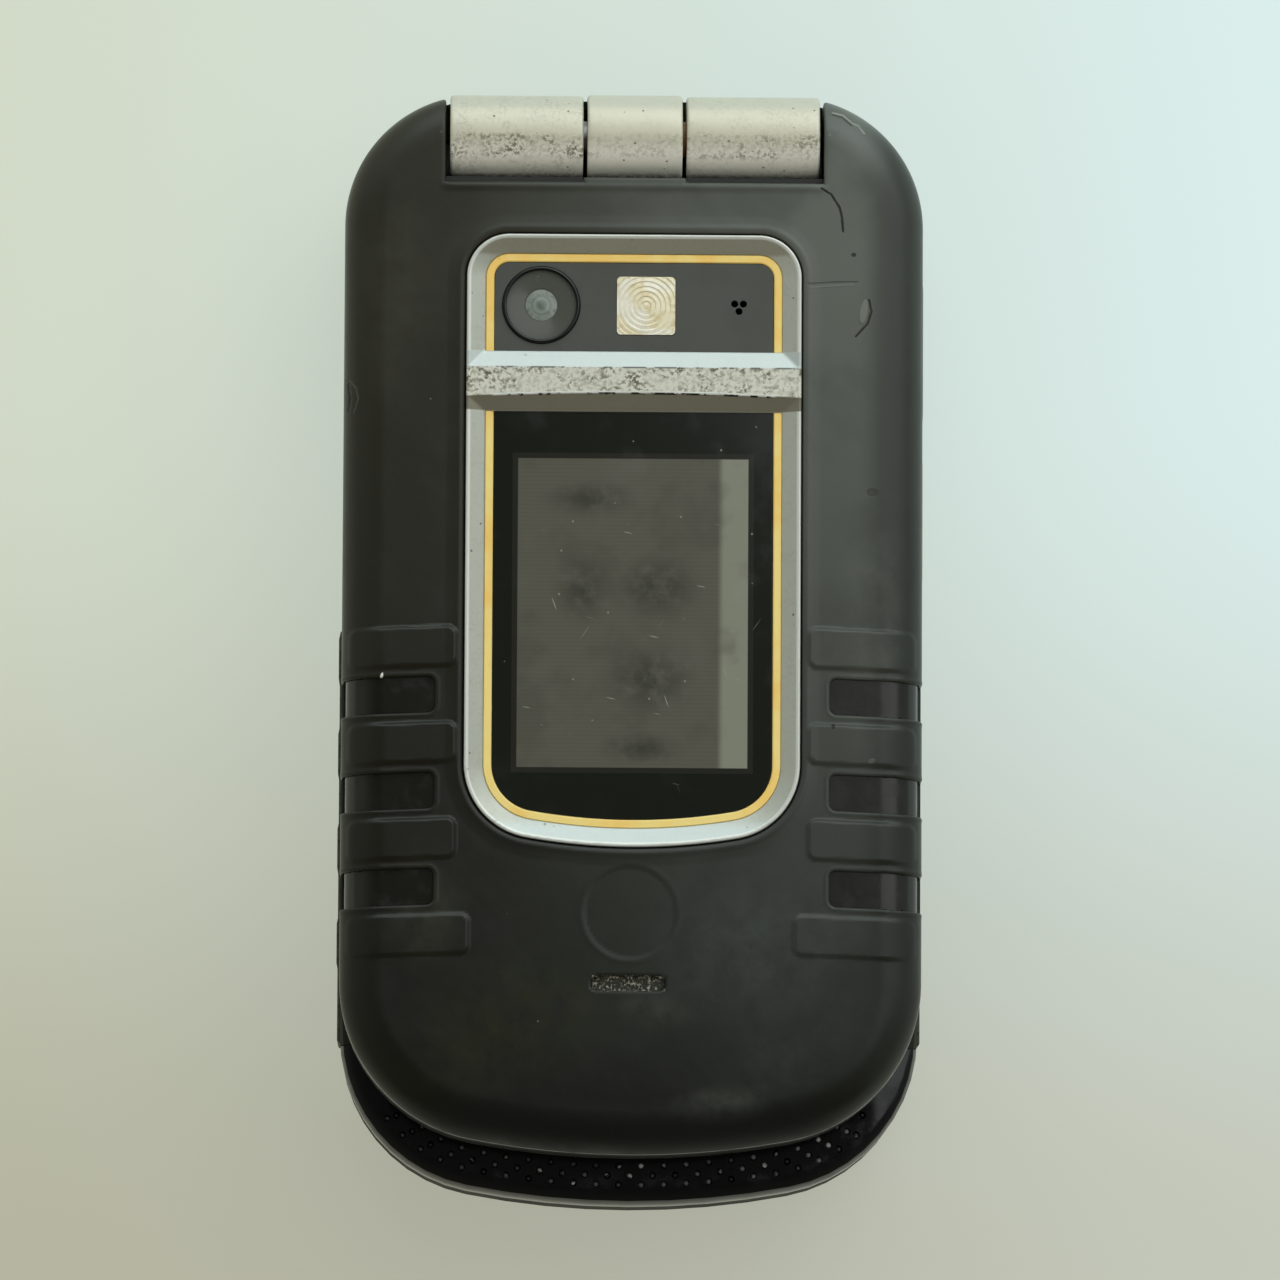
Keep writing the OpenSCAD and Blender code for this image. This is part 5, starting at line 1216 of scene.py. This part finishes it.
def letter(text, size=4.6):
    """Points and faces of a letter, centred on 0."""
    curve = bpy.data.curves.new("letter", "FONT")
    curve.body = text
    curve.size = size
    curve.resolution_u = 4
    obj = bpy.data.objects.new("letter", curve)
    scene.collection.objects.link(obj)
    shown = obj.evaluated_get(bpy.context.evaluated_depsgraph_get())
    mesh = bpy.data.meshes.new_from_object(shown)
    points = np.array([v.co[:2] for v in mesh.vertices])
    faces = [tuple(p.vertices) for p in mesh.polygons]
    bpy.data.objects.remove(obj)
    bpy.data.meshes.remove(mesh)
    return points - (points.max(0) + points.min(0)) / 2, faces


def handset(turn):
    """Points and faces of a plain handset sign: an arched grip with two thicker ends."""
    points, n, outer = [], 16, 1.7
    c, s = math.cos(math.radians(turn)), math.sin(math.radians(turn))
    for i in range(n + 1):
        a = math.radians(35 + 110 * i / n)
        thick = 0.24 + 0.3 * smooth_step(0.62, 0.9, abs(2 * i / n - 1))
        for r in (outer, outer - thick):
            x, y = r * math.cos(a), r * math.sin(a) - 1.35
            points.append((x * c - y * s, x * s + y * c))
    return points, [(2 * i, 2 * i + 1, 2 * i + 3, 2 * i + 2) for i in range(n)]


for name in [*"0123456789", "star", "hash"]:
    lay_on("key_" + name, *letter({"star": "*", "hash": "#"}.get(name, name)))
for side in ("left", "right"):
    lay_on("soft_key_" + side, [(-0.9, -0.14), (0.9, -0.14), (0.9, 0.14), (-0.9, 0.14)],
           [(0, 1, 2, 3)])
lay_on("send_key", *handset(40))
lay_on("end_key", *handset(0))

# ---- materials of the CAD nodes that stay

for node, obj in frame["nodes"].items():
    if not obj.hide_render:
        obj.data.materials.clear()
        obj.data.materials.append(finishes[slots[node]])

# ---- stage, light and camera

# pixels along the photo's side, and millimetres to a pixel at the lid's top
PHOTO, PIXEL = 1280, 0.0836
CAMERA_DISTANCE = 850.0
CAMERA_LEAN, CAMERA_PITCH, CAMERA_ROLL = (math.radians(a) for a in (0.9, 6.0, 0.3))
AIM = np.array([0.62, 0.06, LID_TOP])
FLOOR_SIZE = 3.0
FLOOR_GLOW = 0.64


def make_floor():
    """Pale paper, with painted light that makes it lighter and bluer towards the top right. Seen or
    mirrored, most of its colour is its own, so its shadow stays soft.
    """
    f = Finish("floor_paper", (205, 208, 190), 0.9, Specular_IOR_Level=0.1)
    # painted light: darker and warmer at the bottom left, lighter and bluer at the top right
    up = f.step(f.y, -54, 26)
    left = f.mix(up, srgb(190, 189, 168), srgb(219, 225, 206))
    right = f.mix(up, srgb(206, 209, 196), srgb(228, 247, 246))
    f.colour = f.mix(f.step(f.x, -60, 60, False), left, right)
    seen = f.node("LightPath", "Is Camera Ray", {})
    for ray in ("Is Glossy Ray", "Is Transmission Ray"):
        seen = f.math("MAXIMUM", seen, f.node("LightPath", ray, {}))
    both = f.node("MixShader", 0, {
        0: seen * FLOOR_GLOW, 1: f.shader.outputs[0],
        2: f.node("Emission", 0, {"Color": f.colour})})
    f.feed(f.tree.nodes["Material Output"].inputs["Surface"], both)
    mesh = bpy.data.meshes.new("floor")
    corners = [(x * FLOOR_SIZE, y * FLOOR_SIZE, 0) for x, y in ((-1, -1), (1, -1), (1, 1), (-1, 1))]
    mesh.from_pydata(corners, [], [(0, 1, 2, 3)])
    mesh.materials.append(f.done())
    floor = bpy.data.objects.new("floor", mesh)
    scene.collection.objects.link(floor)


def area_light(name, at, size, power, colour, mirrored_too=True):
    light = bpy.data.lights.new(name, "AREA")
    light.shape = "RECTANGLE"
    light.size, light.size_y = size
    light.energy = power
    light.color = colour
    obj = bpy.data.objects.new(name, light)
    obj.location = at
    obj.rotation_mode = "QUATERNION"
    obj.rotation_quaternion = (-Vector(at)).to_track_quat("-Z", "Y")
    obj.visible_glossy = mirrored_too
    scene.collection.objects.link(obj)


def make_world():
    """A room, the same for every ray: pale low down, brown away from the window, dark overhead."""
    world = bpy.data.worlds.new("studio")
    scene.world = world
    world.use_nodes = True
    tree = world.node_tree
    split = tree.nodes.new("ShaderNodeSeparateXYZ")
    way = tree.nodes.new("ShaderNodeTexCoord").outputs["Generated"]
    tree.links.new(way, split.inputs[0])

    def blended(axis, low, high, below, above):
        part = tree.nodes.new("ShaderNodeMapRange")
        part.inputs["From Min"].default_value = low
        part.inputs["From Max"].default_value = high
        tree.links.new(split.outputs[axis], part.inputs["Value"])
        mix = tree.nodes.new("ShaderNodeMix")
        mix.data_type = "RGBA"
        tree.links.new(part.outputs["Result"], mix.inputs[0])
        for socket, value in ((mix.inputs[6], below), (mix.inputs[7], above)):
            if isinstance(value, tuple):
                socket.default_value = (*value, 1)
            else:
                tree.links.new(value, socket)
        return mix.outputs[2]

    room = blended("X", -0.8, 0.8, (0.33, 0.33, 0.28), (0.4, 0.43, 0.41))
    room = blended("Y", 0.0, 0.8, room, (0.55, 0.63, 0.65))
    room = blended("Y", -0.7, -0.1, (0.15, 0.13, 0.095), room)
    room = blended("Z", 0.55, 0.95, room, (0.07, 0.071, 0.067))
    horizon = blended("Y", -0.8, 0.3, (0.46, 0.46, 0.41), (0.7, 0.74, 0.69))
    room = blended("Z", 0.03, 0.1, horizon, room)
    tree.links.new(room, tree.nodes["Background"].inputs["Color"])


def make_camera():
    """A camera high above the phone, turned and leaned as the photograph's was."""
    west, south = math.sin(CAMERA_LEAN), math.sin(CAMERA_PITCH)
    back = Vector((-west, -south, math.sqrt(1 - west * west - south * south)))
    level = Vector((0, 1, 0)).cross(back).normalized()
    right = math.cos(CAMERA_ROLL) * level + math.sin(CAMERA_ROLL) * back.cross(level)
    data = bpy.data.cameras.new("camera")
    data.lens = data.sensor_width * CAMERA_DISTANCE / (PHOTO * PIXEL)
    data.clip_start, data.clip_end = 0.01, 20
    cam = bpy.data.objects.new("camera", data)
    turn = Matrix((right, back.cross(right), back)).transposed().to_4x4()
    cam.matrix_world = Matrix.Translation(Vector(AIM * MM) + back * CAMERA_DISTANCE * MM) @ turn
    scene.collection.objects.link(cam)
    scene.camera = cam


make_floor()
make_world()
area_light("window_light", (0.2, 0.95, 0.62), (1.7, 0.9), 6.5, (0.93, 1.0, 1.0))
area_light("ceiling_right", (0.34, 0.3, 0.7), (0.8, 0.8), 2.2, (0.97, 1.0, 0.99))
area_light("room_light", (-0.4, -0.7, 0.8), (1.8, 1.4), 4.0, (1.0, 0.98, 0.93), mirrored_too=False)
make_camera()
scene.view_settings.view_transform = "Standard"
